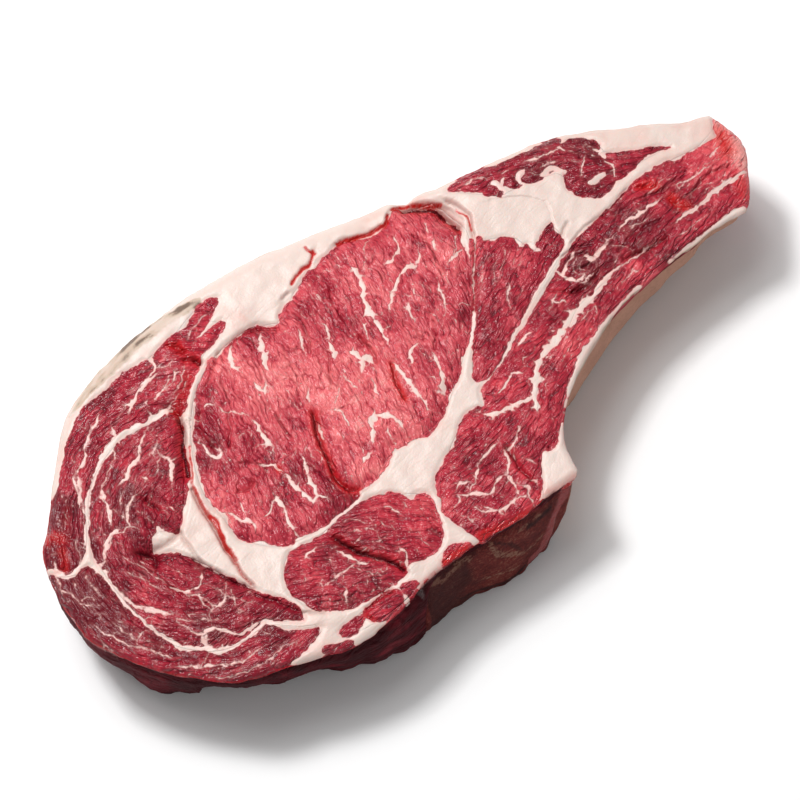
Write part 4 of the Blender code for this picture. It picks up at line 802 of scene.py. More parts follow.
@dataclass
class Chart:
    """A grid over the plan on which the look of the cut face is drawn, in millimetres."""

    left: float = -142.0
    front: float = -85.0
    step: float = 0.3
    columns: int = 1000
    rows: int = 568

    def __post_init__(self) -> None:
        """Lays out the grid's points."""
        self.x, self.y = np.meshgrid(
            self.left + self.step * np.arange(self.columns), self.front + self.step * np.arange(self.rows)
        )

    def read(self, values: Array, x: Array, y: Array) -> Array:
        """Values of the grid at any points, blended between its own.

        Args:
            values: The grid's values.
            x: x of the points.
            y: y of the points.

        Returns:
            One value for each point.
        """
        u = np.clip((x - self.left) / self.step, 0.0, self.columns - 1.001)
        v = np.clip((y - self.front) / self.step, 0.0, self.rows - 1.001)
        i, j = u.astype(int), v.astype(int)
        s, t = u - i, v - j
        low = values[j, i] * (1 - s) + values[j, i + 1] * s
        high = values[j + 1, i] * (1 - s) + values[j + 1, i + 1] * s
        return low * (1 - t) + high * t

    def window(self, a: Array, b: Array, reach: float) -> tuple[slice, slice]:
        """The rows and columns within reach of a straight line.

        Args:
            a: One end of the line.
            b: Its other end.
            reach: The reach.

        Returns:
            The rows, then the columns.
        """
        low, high = np.minimum(a, b) - reach, np.maximum(a, b) + reach
        corner = np.array((self.left, self.front))
        first = np.maximum((low - corner) / self.step, 0).astype(int)
        last = np.maximum((high - corner) / self.step + 2, 0).astype(int)
        return slice(first[1], last[1]), slice(first[0], last[0])

    def draw(self, target: Array, line: Array, widths: Array, reach: float) -> None:
        """Draws a line as how far a point lies inside it, where that is more than is there already.

        Args:
            target: The values that are drawn on.
            line: The points of the line.
            widths: Its full width at each of them.
            reach: How far beside the line it is drawn.
        """
        for k in range(len(line) - 1):
            a, b = line[k], line[k + 1]
            rows, columns = self.window(a, b, reach)
            x, y = self.x[rows, columns], self.y[rows, columns]
            run = b - a
            t = np.clip(((x - a[0]) * run[0] + (y - a[1]) * run[1]) / (run @ run + 1e-9), 0.0, 1.0)
            away = np.hypot(x - a[0] - t * run[0], y - a[1] - t * run[1])
            value = 0.5 * (widths[k] + t * (widths[k + 1] - widths[k])) - away
            np.maximum(target[rows, columns], value, out=target[rows, columns])

    def within(self, loop: Array) -> Array:
        """Which points of the grid lie inside a closed loop.

        Args:
            loop: The points of the loop, one a row.

        Returns:
            True for each point inside.
        """
        inside = np.zeros(self.x.shape, bool)
        ends = np.roll(loop, -1, axis=0)
        heights = self.y[:, 0]
        for (ax, ay), (bx, by) in zip(loop, ends):
            rows = np.nonzero((ay > heights) != (by > heights))[0]
            at = ax + (heights[rows] - ay) * (bx - ax) / (by - ay if by != ay else 1.0)
            inside[rows] ^= self.x[rows] < at[:, None]
        return inside

    def depth_in(self, loop: Array, reach: float) -> Array:
        """How far each point lies inside a loop, negative outside it, and no more than the reach.

        Args:
            loop: The points of the loop, one a row.
            reach: The reach.

        Returns:
            One depth for each point.
        """
        near = np.full(self.x.shape, -reach)
        closed = np.concatenate([loop, loop[:1]])
        self.draw(near, closed, np.zeros(len(closed)), reach)
        return np.where(self.within(loop), -near, near)

    def comb(self, values: Array, angle: Array, steps: int) -> Array:
        """The values drawn out along the grain.

        Args:
            values: The grid's values.
            angle: Direction of the grain at each point.
            steps: How far they are drawn out to each side, in grid steps.

        Returns:
            The mean along the grain at each point.
        """
        total = values.copy()
        along_x, along_y = np.cos(angle), np.sin(angle)
        for way in (-1.0, 1.0):
            i = np.broadcast_to(np.arange(self.columns, dtype=float), values.shape).copy()
            j = np.broadcast_to(np.arange(self.rows, dtype=float)[:, None], values.shape).copy()
            for _ in range(steps):
                at_i = np.clip(i.astype(int), 0, self.columns - 1)
                at_j = np.clip(j.astype(int), 0, self.rows - 1)
                i += way * along_x[at_j, at_i]
                j += way * along_y[at_j, at_i]
                at_i = np.clip((i + 0.5).astype(int), 0, self.columns - 1)
                at_j = np.clip((j + 0.5).astype(int), 0, self.rows - 1)
                total += values[at_j, at_i]
        return total / (2 * steps + 1)

    def soften(self, values: Array, radius: int) -> Array:
        """The values blurred twice by a box of the given radius in grid steps.

        Args:
            values: The grid's values.
            radius: The radius.

        Returns:
            The blurred values.
        """
        for _ in range(2):
            for axis in (0, 1):
                padded = np.concatenate([
                    np.repeat(np.take(values, [0], axis), radius + 1, axis), values,
                    np.repeat(np.take(values, [-1], axis), radius, axis),
                ], axis)
                sums = np.cumsum(padded, axis)
                width = 2 * radius + 1
                count = sums.shape[axis]
                values = (
                    np.take(sums, range(width, count), axis) - np.take(sums, range(0, count - width), axis)
                ) / width
        return values

    def bundles(self, angle: Array, spacing: float, stretch: float, seed: int) -> tuple[Array, ...]:
        """Rounded bundles of fibre, longer along the grain.

        Args:
            angle: Direction of the grain at each point.
            spacing: Distance between the bundles' middles.
            stretch: How many times longer than wide they are.
            seed: Which of the many uneven layouts.

        Returns:
            Distance to the nearest middle, how much nearer it is than the next, and a number of the bundle.
        """
        first = np.full(self.x.shape, 9.0)
        second = np.full(self.x.shape, 9.0)
        own = np.zeros(self.x.shape)
        i, j = np.floor(self.x / spacing), np.floor(self.y / spacing)
        along_x, along_y = np.cos(angle), np.sin(angle)
        for di in (-2, -1, 0, 1, 2):
            for dj in (-2, -1, 0, 1, 2):
                px = (i + di + 0.5 + 0.46 * dice(i + di, j + dj, seed)) * spacing - self.x
                py = (j + dj + 0.5 + 0.46 * dice(i + di, j + dj, seed + 1)) * spacing - self.y
                along = (px * along_x + py * along_y) / stretch
                away = np.hypot(along, py * along_x - px * along_y) / spacing
                nearer = away < first
                second = np.where(nearer, first, np.minimum(second, away))
                own = np.where(nearer, dice(i + di, j + dj, seed + 2), own)
                first = np.where(nearer, away, first)
        return first, second - first, own


@dataclass
class CutFace:
    """Charts of the steak's cut face, which every piece reads. Sizes are in millimetres."""

    portions: tuple["Portion", ...]
    # How far from its line, border or place each thing is drawn or blended
    vein_reach: float = 3.4
    border_reach: float = 14.0
    dome_reach: float = 5.0
    fold_reach: float = 8.0
    side_reach: float = 6.0
    tone_reach: float = 4.0
    grain_reach: float = 3.0
    skin_reach: float = 3.0
    # Width of the small and of the wide bundles of fibre
    bundle: float = 2.4
    wide_bundle: float = 5.2
    # Fine flecks: how many are tried, and two corners of the ground they fall on
    fleck_count: int = 5200
    fleck_from: tuple[float, float] = (-132.0, -58.0)
    fleck_to: tuple[float, float] = (150.0, 66.0)
    # Distance between a vein's spurs, and how far the relief may rise above the solid
    spur_spacing: float = 3.4
    most_rise: float = 2.0
    # x at which the sawn stretch of the bone, its black part, the dry foot and the calm tail begin or end,
    # and the y that parts the sawn wall from the rest
    saw_end: float = 34.0
    sawn_back: float = -42.0
    black_end: float = -7.0
    skin_from: float = -104.0
    skin_to: float = -45.0
    calm_from: float = 122.0
    # Height of the ragged foot of the walls, and how far the pattern sways from the face to the floor
    foot_height: float = 9.0
    sway: float = 9.0

    def __post_init__(self) -> None:
        """Draws every chart."""
        self.chart = Chart()
        x, y = self.chart.x, self.chart.y
        self.outline = curve(OUTLINE, 1.2, closed=True)[:-1]
        self.edge = self.chart.depth_in(self.outline, self.border_reach)
        self.out_x, self.out_y = self.outward()
        self.angle = self.grain_angle()
        self.fat, dome = self.tissue()
        wander_x, wander_y = (mixed(x, y, seed, (0.5, 5.0), (0.42, 1.8), (0.24, 0.8)) for seed in (11, 14))
        self.fat = self.chart.read(self.fat, x + wander_x, y + wander_y)
        self.fat = self.fine_marbling(self.fat)
        self.relief, self.wet, self.gloom = self.folds()
        self.fibre = self.chart.comb(mixed(x, y, 21, (1.0, 0.7), (0.7, 1.3)), self.angle, 9)
        self.fibre *= 2.1
        near, gap, own = self.chart.bundles(self.angle, self.bundle, 2.3, 31)
        _, wide_gap, wide_own = self.chart.bundles(self.angle + 0.15, self.wide_bundle, 1.9, 35)
        crack = np.exp(-((wide_gap / 0.05) ** 2)) * smooth_step(0.6 + 1.4 * drift(x, y, 6.0, 38))
        self.tone = self.meat_tone(own, gap) + 0.1 * wide_own
        self.skin = self.dry_skin()
        self.blush = layered(x, y, 14.0, 41) + 0.5 * self.chart.comb(drift(x, y, 1.2, 43), self.angle, 14)
        meat = smooth_step(-self.fat / 0.9)
        lumps = 0.34 * layered(x, y, 11.0, 51) + 0.16 * drift(x, y, 3.6, 54)
        bundle = 0.26 * (0.5 - near**2) - 0.12 * np.exp(-((gap / 0.12) ** 2)) - 0.3 * crack
        creases = np.abs(self.chart.comb(drift(x, y, 1.6, 56), self.angle, 10))
        bundle -= 0.28 * np.exp(-((creases / 0.04) ** 2))
        # Painted shade in the wide cracks between bundles of fibre
        self.gloom = np.maximum(self.gloom, 0.3 * crack * meat)
        fatty = 0.06 * layered(x, y, 4.2, 57, 2)
        fatty += 0.03 * self.chart.comb(drift(x, y, 0.8, 58), self.angle, 12)
        border = 0.16 * np.exp(-(((self.fat + 0.25) / 0.4) ** 2))
        self.relief += lumps + meat * (bundle + 0.05 * self.fibre) + (1 - meat) * (fatty + 0.1) - border
        self.lean = blend_places(EDGES[:, :2], EDGES[:, 2:4], x, y, EDGE_BLEND)
        self.sides = blend_places(SIDES[:, :2], SIDES[:, 2:], x, y, self.side_reach)
        self.bareness = smooth_step(self.fat / 1.5)
        wall = np.array((0.0, 1.0, -WALL_LEAN))
        self.marks = [
            (kind, width, PHOTO.meet(CHINE, flat, wall, WALL_FOOT)[:, (0, 2)])
            for kind, width, flat in SHOT_WALL
        ]
        self.height = face_height(x, y) + dome + self.relief
        self.height -= self.rounding() + self.hollows()

    def outward(self) -> tuple[Array, Array]:
        """The direction that leads out of the steak, from the depth inside its outline.

        Returns:
            The direction's x, then its y.
        """
        smooth = self.chart.soften(self.edge, 4)
        rise_y, rise_x = np.gradient(smooth)
        length = np.hypot(rise_x, rise_y) + 1e-9
        return -rise_x / length, -rise_y / length

    def grain_angle(self) -> Array:
        """Direction of the grain everywhere, in radians from X.

        Returns:
            One angle for each point of the chart.
        """
        doubled = np.radians(GRAINS[:, 2] * 2.0)
        values = np.stack([np.cos(doubled), np.sin(doubled)], axis=1)
        blended = blend_places(GRAINS[:, :2], values, self.chart.x, self.chart.y, self.grain_reach)
        bend = mixed(self.chart.x, self.chart.y, 61, (0.3, 7.0), (0.2, 3.0))
        return 0.5 * np.arctan2(blended[..., 1], blended[..., 0]) + bend

    def tissue(self) -> tuple[Array, Array]:
        """How far each point lies inside fat, and the dome of the muscles.

        Returns:
            The depth inside fat, then the dome's height.
        """
        inner = np.full(self.chart.x.shape, -self.border_reach)
        dome = np.zeros(self.chart.x.shape)
        for muscle in [muscle for portion in self.portions for muscle in portion.muscles]:
            border = curve(muscle.outline, 1.0, closed=True)[:-1]
            depth = self.chart.depth_in(border, self.border_reach) + muscle.spread
            inner = np.maximum(inner, depth)
            dome += np.where(
                depth > 0,
                muscle.dome * (smooth_step(depth / self.dome_reach) - 0.5),
                -0.5 * muscle.dome * (1 - smooth_step(-depth / 1.6)),
            )
        fat = -inner
        self.muscle = inner.copy()
        rng = np.random.default_rng(5)
        for first, last, flat in [vein for portion in self.portions for vein in portion.veins]:
            self.grow_vein(fat, curve(flat, 0.7), first, last, rng)
        for shot, lines in SHOT_VEINS:
            for first, last, flat in lines:
                self.grow_vein(fat, curve(PHOTO.plan(shot, flat), 0.7), first, last, rng)
        meat = np.full(fat.shape, -self.vein_reach)
        self.draw_read(meat, SHOT_MEAT, 0.7, self.vein_reach)
        fat = np.minimum(fat, -meat)
        self.draw_read(fat, SHOT_POCKETS, 0.7, self.vein_reach)
        return fat, dome

    def draw_read(self, target: Array, table: tuple, step: float, reach: float) -> None:
        """Draws lines that were read from the photograph, each of a width that changes evenly.

        Args:
            target: The chart that they are drawn on.
            table: The enlarged parts of the photograph, each with its lines.
            step: Distance between the points of a line, in millimetres.
            reach: How far beside the lines they are drawn.
        """
        for shot, lines in table:
            for first, last, flat in lines:
                line = curve(PHOTO.plan(shot, flat), step)
                self.chart.draw(target, line, np.linspace(first, last, len(line)), reach)

    def grow_vein(self, fat: Array, line: Array, first: float, last: float,
                  rng: np.random.Generator) -> None:
        """Draws a vein of uneven width that ends in threads and sends spurs to its sides.

        Args:
            fat: The chart that it is drawn on.
            line: The points that it follows.
            first: Its width at the start.
            last: Its width at the end.
            rng: Source of its unevenness.
        """
        count = len(line)
        share = np.linspace(0.0, 1.0, count)
        run = np.gradient(line, axis=0)
        run /= np.linalg.norm(run, axis=1)[:, None] + 1e-9
        side = np.stack([-run[:, 1], run[:, 0]], axis=1)
        knots = max(3, count // 2)
        wave = np.interp(share, np.linspace(0, 1, knots), rng.uniform(-0.28, 0.28, knots))
        line = line + side * wave[:, None]
        uneven = np.interp(share, np.linspace(0, 1, knots), rng.uniform(0.6, 1.3, knots))
        widths = (first + (last - first) * share) * uneven
        widths *= np.minimum(1.0, 0.3 + 0.35 * np.minimum(np.arange(count), np.arange(count)[::-1]))
        self.chart.draw(fat, line, widths, self.vein_reach)
        for end, way in ((0, -1.0), (count - 1, 1.0)):
            reach = rng.uniform(0.8, 2.4)
            turn = rng.normal(0.0, 0.4)
            heading = way * (run[end] * math.cos(turn) + side[end] * math.sin(turn))
            thread = np.stack([line[end], line[end] + heading * reach])
            self.chart.draw(fat, thread, np.array((0.45 * widths[end], 0.05)), 1.6)
        for _ in range(rng.poisson(0.7 * count / self.spur_spacing)):
            at = rng.integers(0, count)
            way = rng.choice((-1.0, 1.0))
            lean = rng.uniform(-0.9, 0.9)
            heading = side[at] * way * math.cos(lean) + run[at] * math.sin(lean)
            reach = rng.uniform(0.5, 1.0) * (0.7 + widths[at])
            spur = np.stack([line[at], line[at] + heading * (0.5 * widths[at] + reach)])
            self.chart.draw(fat, spur, np.array((0.7 * widths[at], 0.04)), 2.4)

    def fine_marbling(self, fat: Array) -> Array:
        """Adds the fine flecks and threads of fat that run with the grain.

        Args:
            fat: The chart that they are drawn on.

        Returns:
            The same chart.
        """
        read = self.chart.read
        x, y = self.chart.x, self.chart.y
        rng = np.random.default_rng(17)
        places = rng.uniform(self.fleck_from, self.fleck_to, (self.fleck_count, 2))
        angle = read(self.angle, places[:, 0], places[:, 1])
        depth = read(self.muscle, places[:, 0], places[:, 1])
        room = read(layered(x, y, 16.0, 71), places[:, 0], places[:, 1])
        kept = (depth > 0.7) & (room + rng.uniform(-0.5, 0.75, len(places)) > 0.15)
        for (px, py), turn in zip(places[kept], angle[kept]):
            turn += rng.normal(0.0, 0.35)
            length = 0.5 + 3.4 * rng.random() ** 2.6
            width = 0.18 + 0.4 * rng.random() ** 2.2
            bend = rng.normal(0.0, 0.22) * length
            run = np.array((math.cos(turn), math.sin(turn)))
            side = np.array((-run[1], run[0]))
            start = np.array((px, py))
            line = np.array([start - run * length / 2, start + side * bend, start + run * length / 2])
            self.chart.draw(fat, line, np.array((0.05, width, 0.05)), 1.6)
        return fat

    def folds(self) -> tuple[Array, Array, Array]:
        """Relief, wet redness and painted shade along the folds and gaps.

        Returns:
            The three charts in that order.
        """
        x, y = self.chart.x, self.chart.y
        relief, wet, gloom = (np.zeros(x.shape) for _ in range(3))
        ragged_x = x + mixed(x, y, 81, (0.4, 3.0), (0.2, 1.1))
        ragged_y = y + mixed(x, y, 83, (0.4, 3.0), (0.2, 1.1))
        read_here = [(PHOTO.plan(shot, fold[4]), fold) for shot, folds in SHOT_FOLDS for fold in folds]
        for flat, (width, depth, lift, red, _) in [(fold[4], fold) for fold in FOLDS] + read_here:
            line = curve(flat, 0.9)
            reach = self.fold_reach
            away = np.full(x.shape, -reach)
            self.chart.draw(away, line, np.zeros(len(line)), reach)
            side = self.side_of(line, reach)
            share = smooth_step((reach + away) / reach)
            step = lift * side * np.exp(away / 2.4) * share
            relief += self.chart.read(step, ragged_x, ragged_y)
            taper = self.chart.read(away, ragged_x, ragged_y)
            gap = np.exp(-((taper / width) ** 2))
            relief -= depth * gap
            # Painted shade: each fold is darkened in colour by its depth, or given a fixed dark core for the
            # red lines.
            shade = min(1.0, 0.5 * depth) if red <= 1.0 else 0.6
            gloom = np.maximum(gloom, shade * np.exp(-((taper / (0.6 * width)) ** 2)))
            if red > 1.0:
                wet = np.maximum(wet, red * smooth_step((0.5 * width + 0.45 + taper) / 0.5))
            else:
                wet = np.maximum(wet, red * np.exp(-((taper / (1.5 * width + 0.5)) ** 2)))
        return relief, wet, gloom

    def side_of(self, line: Array, reach: float) -> Array:
        """1 to the left of a line and -1 to its right, eased across it, within reach.

        Args:
            line: The points of the line.
            reach: The reach.

        Returns:
            One value for each point of the chart.
        """
        side = np.zeros(self.chart.x.shape)
        nearest = np.full(self.chart.x.shape, reach)
        for a, b in zip(line[:-1], line[1:]):
            rows, columns = self.chart.window(a, b, reach)
            x, y = self.chart.x[rows, columns], self.chart.y[rows, columns]
            run = (b - a) / (np.linalg.norm(b - a) + 1e-9)
            t = np.clip(((x - a[0]) * run[0] + (y - a[1]) * run[1]), 0.0, np.linalg.norm(b - a))
            away = np.hypot(x - a[0] - t * run[0], y - a[1] - t * run[1])
            cross = run[0] * (y - a[1]) - run[1] * (x - a[0])
            closer = away < nearest[rows, columns]
            side[rows, columns] = np.where(closer, np.tanh(cross / 0.35), side[rows, columns])
            nearest[rows, columns] = np.where(closer, away, nearest[rows, columns])
        return side

    def meat_tone(self, own: Array, gap: Array) -> Array:
        """How pale the meat is, from deep crimson at 0 to pink at 1.

        Args:
            own: A number of each bundle of fibre.
            gap: Distance to its border.

        Returns:
            One value for each point of the chart.
        """
        x, y = self.chart.x, self.chart.y
        tone = blend_places(TONES[:, :2], TONES[:, 2:], x, y, self.tone_reach)[..., 0]
        tone += 0.2 * layered(x, y, 8.0, 91) + 0.06 * own + 0.02 * self.fibre
        # The gaps between bundles are a little darker: painted shade
        return tone - 0.05 * np.exp(-((gap / 0.12) ** 2))

    def dry_skin(self) -> Array:
        """How dry and brown the upper face is where skin lies on it.

        Returns:
            One value from 0 to 1 for each point of the chart.
        """
        x, y = self.chart.x, self.chart.y
        near = np.full(x.shape, -self.skin_reach)
        self.draw_read(near, SHOT_SKINS, 0.8, self.skin_reach)
        ragged = mixed(x, y, 171, (0.5, 2.6), (0.3, 0.9))
        along = np.arctan2(self.out_x, -self.out_y)
        streaks = self.chart.comb(mixed(x, y, 173, (1.0, 0.9), (0.8, 2.4)), along, 14)
        return smooth_step(0.5 + (near + ragged) / 1.1) * np.clip(0.56 + 1.3 * streaks, 0.26, 1.0)

    def rounding(self) -> Array:
        """How far the face rounds down towards the outline."""
        rim = blend_places(EDGES[:, :2], EDGES[:, 4:5], self.chart.x, self.chart.y, EDGE_BLEND)[..., 0]
        return rim * np.clip(1.0 - self.edge / (rim + 1.5), 0.0, 1.0) ** 2

    def hollows(self) -> Array:
        """The wide hollows of the face.

        Returns:
            Their depth at each point of the chart.
        """
        depth = np.zeros(self.chart.x.shape)
        for place_x, place_y, radius, deep in HOLLOWS:
            away = np.hypot(self.chart.x - place_x, self.chart.y - place_y)
            depth += deep * np.exp(-((away / radius) ** 2))
        return depth

    def plan_of(self, places: Array) -> tuple[Array, Array]:
        """The plan places of points that have been leaned with their height.

        Args:
            places: The leaned points, one a row.

        Returns:
            x and y of each of them on the plan.
        """
        read = self.chart.read
        share = 1.0 - places[:, 2] / THICKNESS
        x, y = places[:, 0].copy(), places[:, 1].copy()
        for _ in range(4):
            lean_x = read(self.lean[..., 0], x, y)
            lean_y = read(self.lean[..., 1], x, y)
            x, y = places[:, 0] - lean_x * share, places[:, 1] - lean_y * share
        return x, y

    def around(self, x: Array, y: Array, z: Array, size: float, seed: int,
               tall: float = 1.0, count: int = 3) -> Array:
        """Uneven values over the wall, with lumps that may be taller than wide.

        Args:
            x: Plan places.
            y: Plan places.
            z: Heights.
            size: Size of the lumps.
            seed: Which of the many layouts.
            tall: How much taller than wide the lumps are.
            count: How many ever finer layers they have.

        Returns:
            One value for each point.
        """
        weight = self.chart.read(self.out_y, x, y) ** 2
        rise = z / tall
        front = layered(0.8 * x + 0.6 * rise, 0.8 * rise - 0.6 * x, size, seed, count)
        side = layered(0.8 * y + 0.6 * rise, 0.8 * rise - 0.6 * y, size, seed + 7, count)
        return weight * front + (1 - weight) * side

    def settle(self, x: Array, y: Array, z: Array, cover: Array, covered: bool) -> Array:
        """Where the points of the slab come to lie, with relief and ragged walls.

        Args:
            x: Plan places.
            y: Plan places.
            z: Heights of the points of the solid, in millimetres.
            cover: 1 on the upper face and 0 below it.
            covered: Whether the solid lies under others and has no upper face.

        Returns:
            The points' places, one a row.
        """
        read = self.chart.read
        top = read(self.height, x, y)
        relief = read(self.relief, x, y)
        lifted = z + cover * np.clip(relief, -1.2, 1.0)
        height = np.where(cover > 0.999, np.minimum(top, z + self.most_rise), lifted)
        if covered:
            height = z
        depth = read(self.edge, x, y)
        near = np.where(cover > 0.999, np.exp(-np.maximum(depth, 0.0) / 1.1), 1.0) * (depth < 2.6)
        bare = read(self.bareness, x, y)
        rough = 0.75 * self.around(x, y, z, 8.0, 101) + 0.3 * self.around(x, y, z, 2.4, 111)
        rough = rough * (1.1 - 0.5 * bare) - 0.2
        if covered:
            saw = 0.16 * self.around(x, y, z, 3.0, 121) - 0.55
            rough = np.where(x < self.saw_end, saw, 0.5 * rough)
        drop = top - z
        under = np.clip(read(self.sides[..., 1], x, y) * 2.0 - 0.4, 0.0, 1.0) * (y < 0.0)
        rough -= under * (1.5 + 0.8 * self.around(x, y, z, 7.0, 125)) * np.exp(-(((drop - 4.0) / 2.4) ** 2))
        rough *= 1.0 - 0.75 * smooth_step((x - self.calm_from) / 12.0)
        foot = np.clip(1.0 - z / self.foot_height, 0.0, 1.0)
        rough += 1.1 * foot * self.around(x, y, 0.3 * z, 4.0, 131) * (x < 40.0) * (y < 0.0)
        lean_x = read(self.lean[..., 0], x, y)
        lean_y = read(self.lean[..., 1], x, y)
        share = 1.0 - height / THICKNESS
        out_x, out_y = read(self.out_x, x, y), read(self.out_y, x, y)
        low = z < 0.02
        height = np.where(low, 0.0, np.maximum(height, 0.0))
        return np.stack([
            x + lean_x * share + out_x * near * rough,
            y + lean_y * share + out_y * near * rough,
            height,
        ], axis=1)

    def mark(self, kind: Mark, x: Array, y: Array, z: Array) -> Array:
        """How strongly marks of one kind show at points of the sawn wall, from 0 to 1.

        Args:
            kind: What the marks show.
            x: Plan places.
            y: Plan places.
            z: Heights.

        Returns:
            One value for each point.
        """
        near = np.full(x.shape, -9.0)
        at = np.stack([x + 0.7 * drift(x, z, 2.2, 181), z + 0.7 * drift(x, z, 2.2, 182)], axis=1)
        for own, width, line in self.marks:
            if own == kind:
                for a, b in zip(line[:-1], line[1:]):
                    run = b - a
                    t = np.clip((at - a) @ run / (run @ run), 0.0, 1.0)
                    away = np.linalg.norm(at - a - t[:, None] * run, axis=1)
                    near = np.maximum(near, 0.5 * width - away)
        return smooth_step(0.5 + near / 1.6) * (y < self.sawn_back)

    def look_at(self, x: Array, y: Array, z: Array, cover: Array) -> dict[str, Array]:
        """What the finishes read at each point: fat, tone, wetness, painted shade, rind, wall and marks.

        Args:
            x: Plan places.
            y: Plan places.
            z: Heights.
            cover: 1 on the upper face and 0 below it.

        Returns:
            The points' values, by the names of the attributes that hold them.
        """
        read = self.chart.read
        depth = read(self.edge, x, y)
        top = read(self.height, x, y)
        below = np.clip((top - z) / THICKNESS, 0.0, 1.0)
        wall = np.where(cover > 0.999, smooth_step(1.0 - depth / 0.9), 1.0)
        inward = np.where(depth < 1.0, 1.0 - depth, 0.0)
        at_x = x - read(self.out_x, x, y) * inward
        at_y = y - read(self.out_y, x, y) * inward
        sway = below * self.sway
        at_x = at_x + sway * drift(x + 3.0, z, 14.0, 141) * (cover < 0.999)
        at_y = at_y + sway * drift(y - 5.0, z, 14.0, 142) * (cover < 0.999)
        fat = read(self.fat, at_x, at_y)
        tone = read(self.tone, at_x, at_y)
        dry, shade, red = (read(self.sides[..., k], x, y) for k in range(3))
        streak = self.around(x, y, z, 6.0, 151, tall=0.6, count=2)
        patch = self.around(x, y, z, 9.0, 155, tall=0.5, count=2)
        drop = top - z
        fleshy = smooth_step(2.6 * shade) * wall * smooth_step((drop + 0.3) / 1.2)
        flesh = -1.2 + 2.6 * smooth_step((patch - 0.5) * 3.0) * smooth_step((drop - 12.0) / 6.0)
        streak_z = np.abs(z - 12.0 - 3.0 * drift(x, y, 9.0, 161) - 0.25 * (x + 112.0))
        flesh = np.maximum(flesh, (1.4 - streak_z) * (x < -98.0) * (y < -20.0) - 1.2 * (x >= -98.0))
        fat = fat + (np.minimum(fat, flesh) - fat) * fleshy
        low_skin = (x > self.skin_from) * (x < self.skin_to) * (y < 0.0)
        dry = np.maximum(dry, smooth_step((self.foot_height - z) / 4.0) * low_skin)
        worn = 0.75 * smooth_step(0.95 - drop / 3.0 + 1.1 * streak)
        skin = read(self.skin, at_x, at_y) * np.where(cover > 0.999, 1.0, worn)
        rind = np.maximum(dry * wall * smooth_step(0.55 + 0.9 * streak), skin)
        rim = wall * np.exp(-((drop - 0.4) / 1.9) ** 2)
        wet = np.maximum(read(self.wet, x, y) * (cover > 0.5), red * rim * np.clip(0.8 + 0.9 * streak, 0, 1))
        # Painted shade on the rim and wall, darkest on the sides that face away from the light; partly the
        # walls' own darker meat
        gloom = np.maximum(
            read(self.gloom, x, y) * (cover > 0.999),
            np.clip(1.8 * shade, 0, 1) * wall * smooth_step((drop - 1.6) / 1.6) * (0.95 + 0.3 * streak),
        )
        pale, dark, lump = (self.mark(kind, x, y, z) * wall for kind in Mark)
        blackened = smooth_step((self.black_end - x + 5.0 * drift(x, z, 5.0, 191)) / 9.0)
        blackened = blackened * (y < self.sawn_back) * (x > -30.0)
        dark = np.maximum(dark, 0.75 * blackened * wall)
        # The dark marks and the black stretch of the sawn wall join the painted shade here; flesh marks clear
        # it
        gloom = np.maximum(gloom * (1 - lump), dark)
        wet = np.maximum(wet, lump)
        sawn = smooth_step((36.0 - x) / 3.0) * (y < 0.0)
        return {
            "fat": fat, "tone": tone, "wet": np.clip(wet, 0, 4), "gloom": np.clip(gloom, 0, 1),
            "rind": np.clip(rind, 0, 1), "wall": wall, "blush": read(self.blush, at_x, at_y), "sawn": sawn,
            "pale": pale, "clot": dark,
        }


def taken(items: bpy.types.bpy_prop_collection, name: str, kind: type, width: int = 1) -> Array:
    """The numbers that the items of a mesh hold.

    Args:
        items: The items, such as its points or edges.
        name: What is read from each of them.
        kind: The type of the numbers.
        width: How many numbers an item holds.

    Returns:
        One row for each item, or one number where an item holds one.
    """
    values = np.empty(len(items) * width, kind)
    items.foreach_get(name, values)
    return values.reshape(-1, width) if width > 1 else values


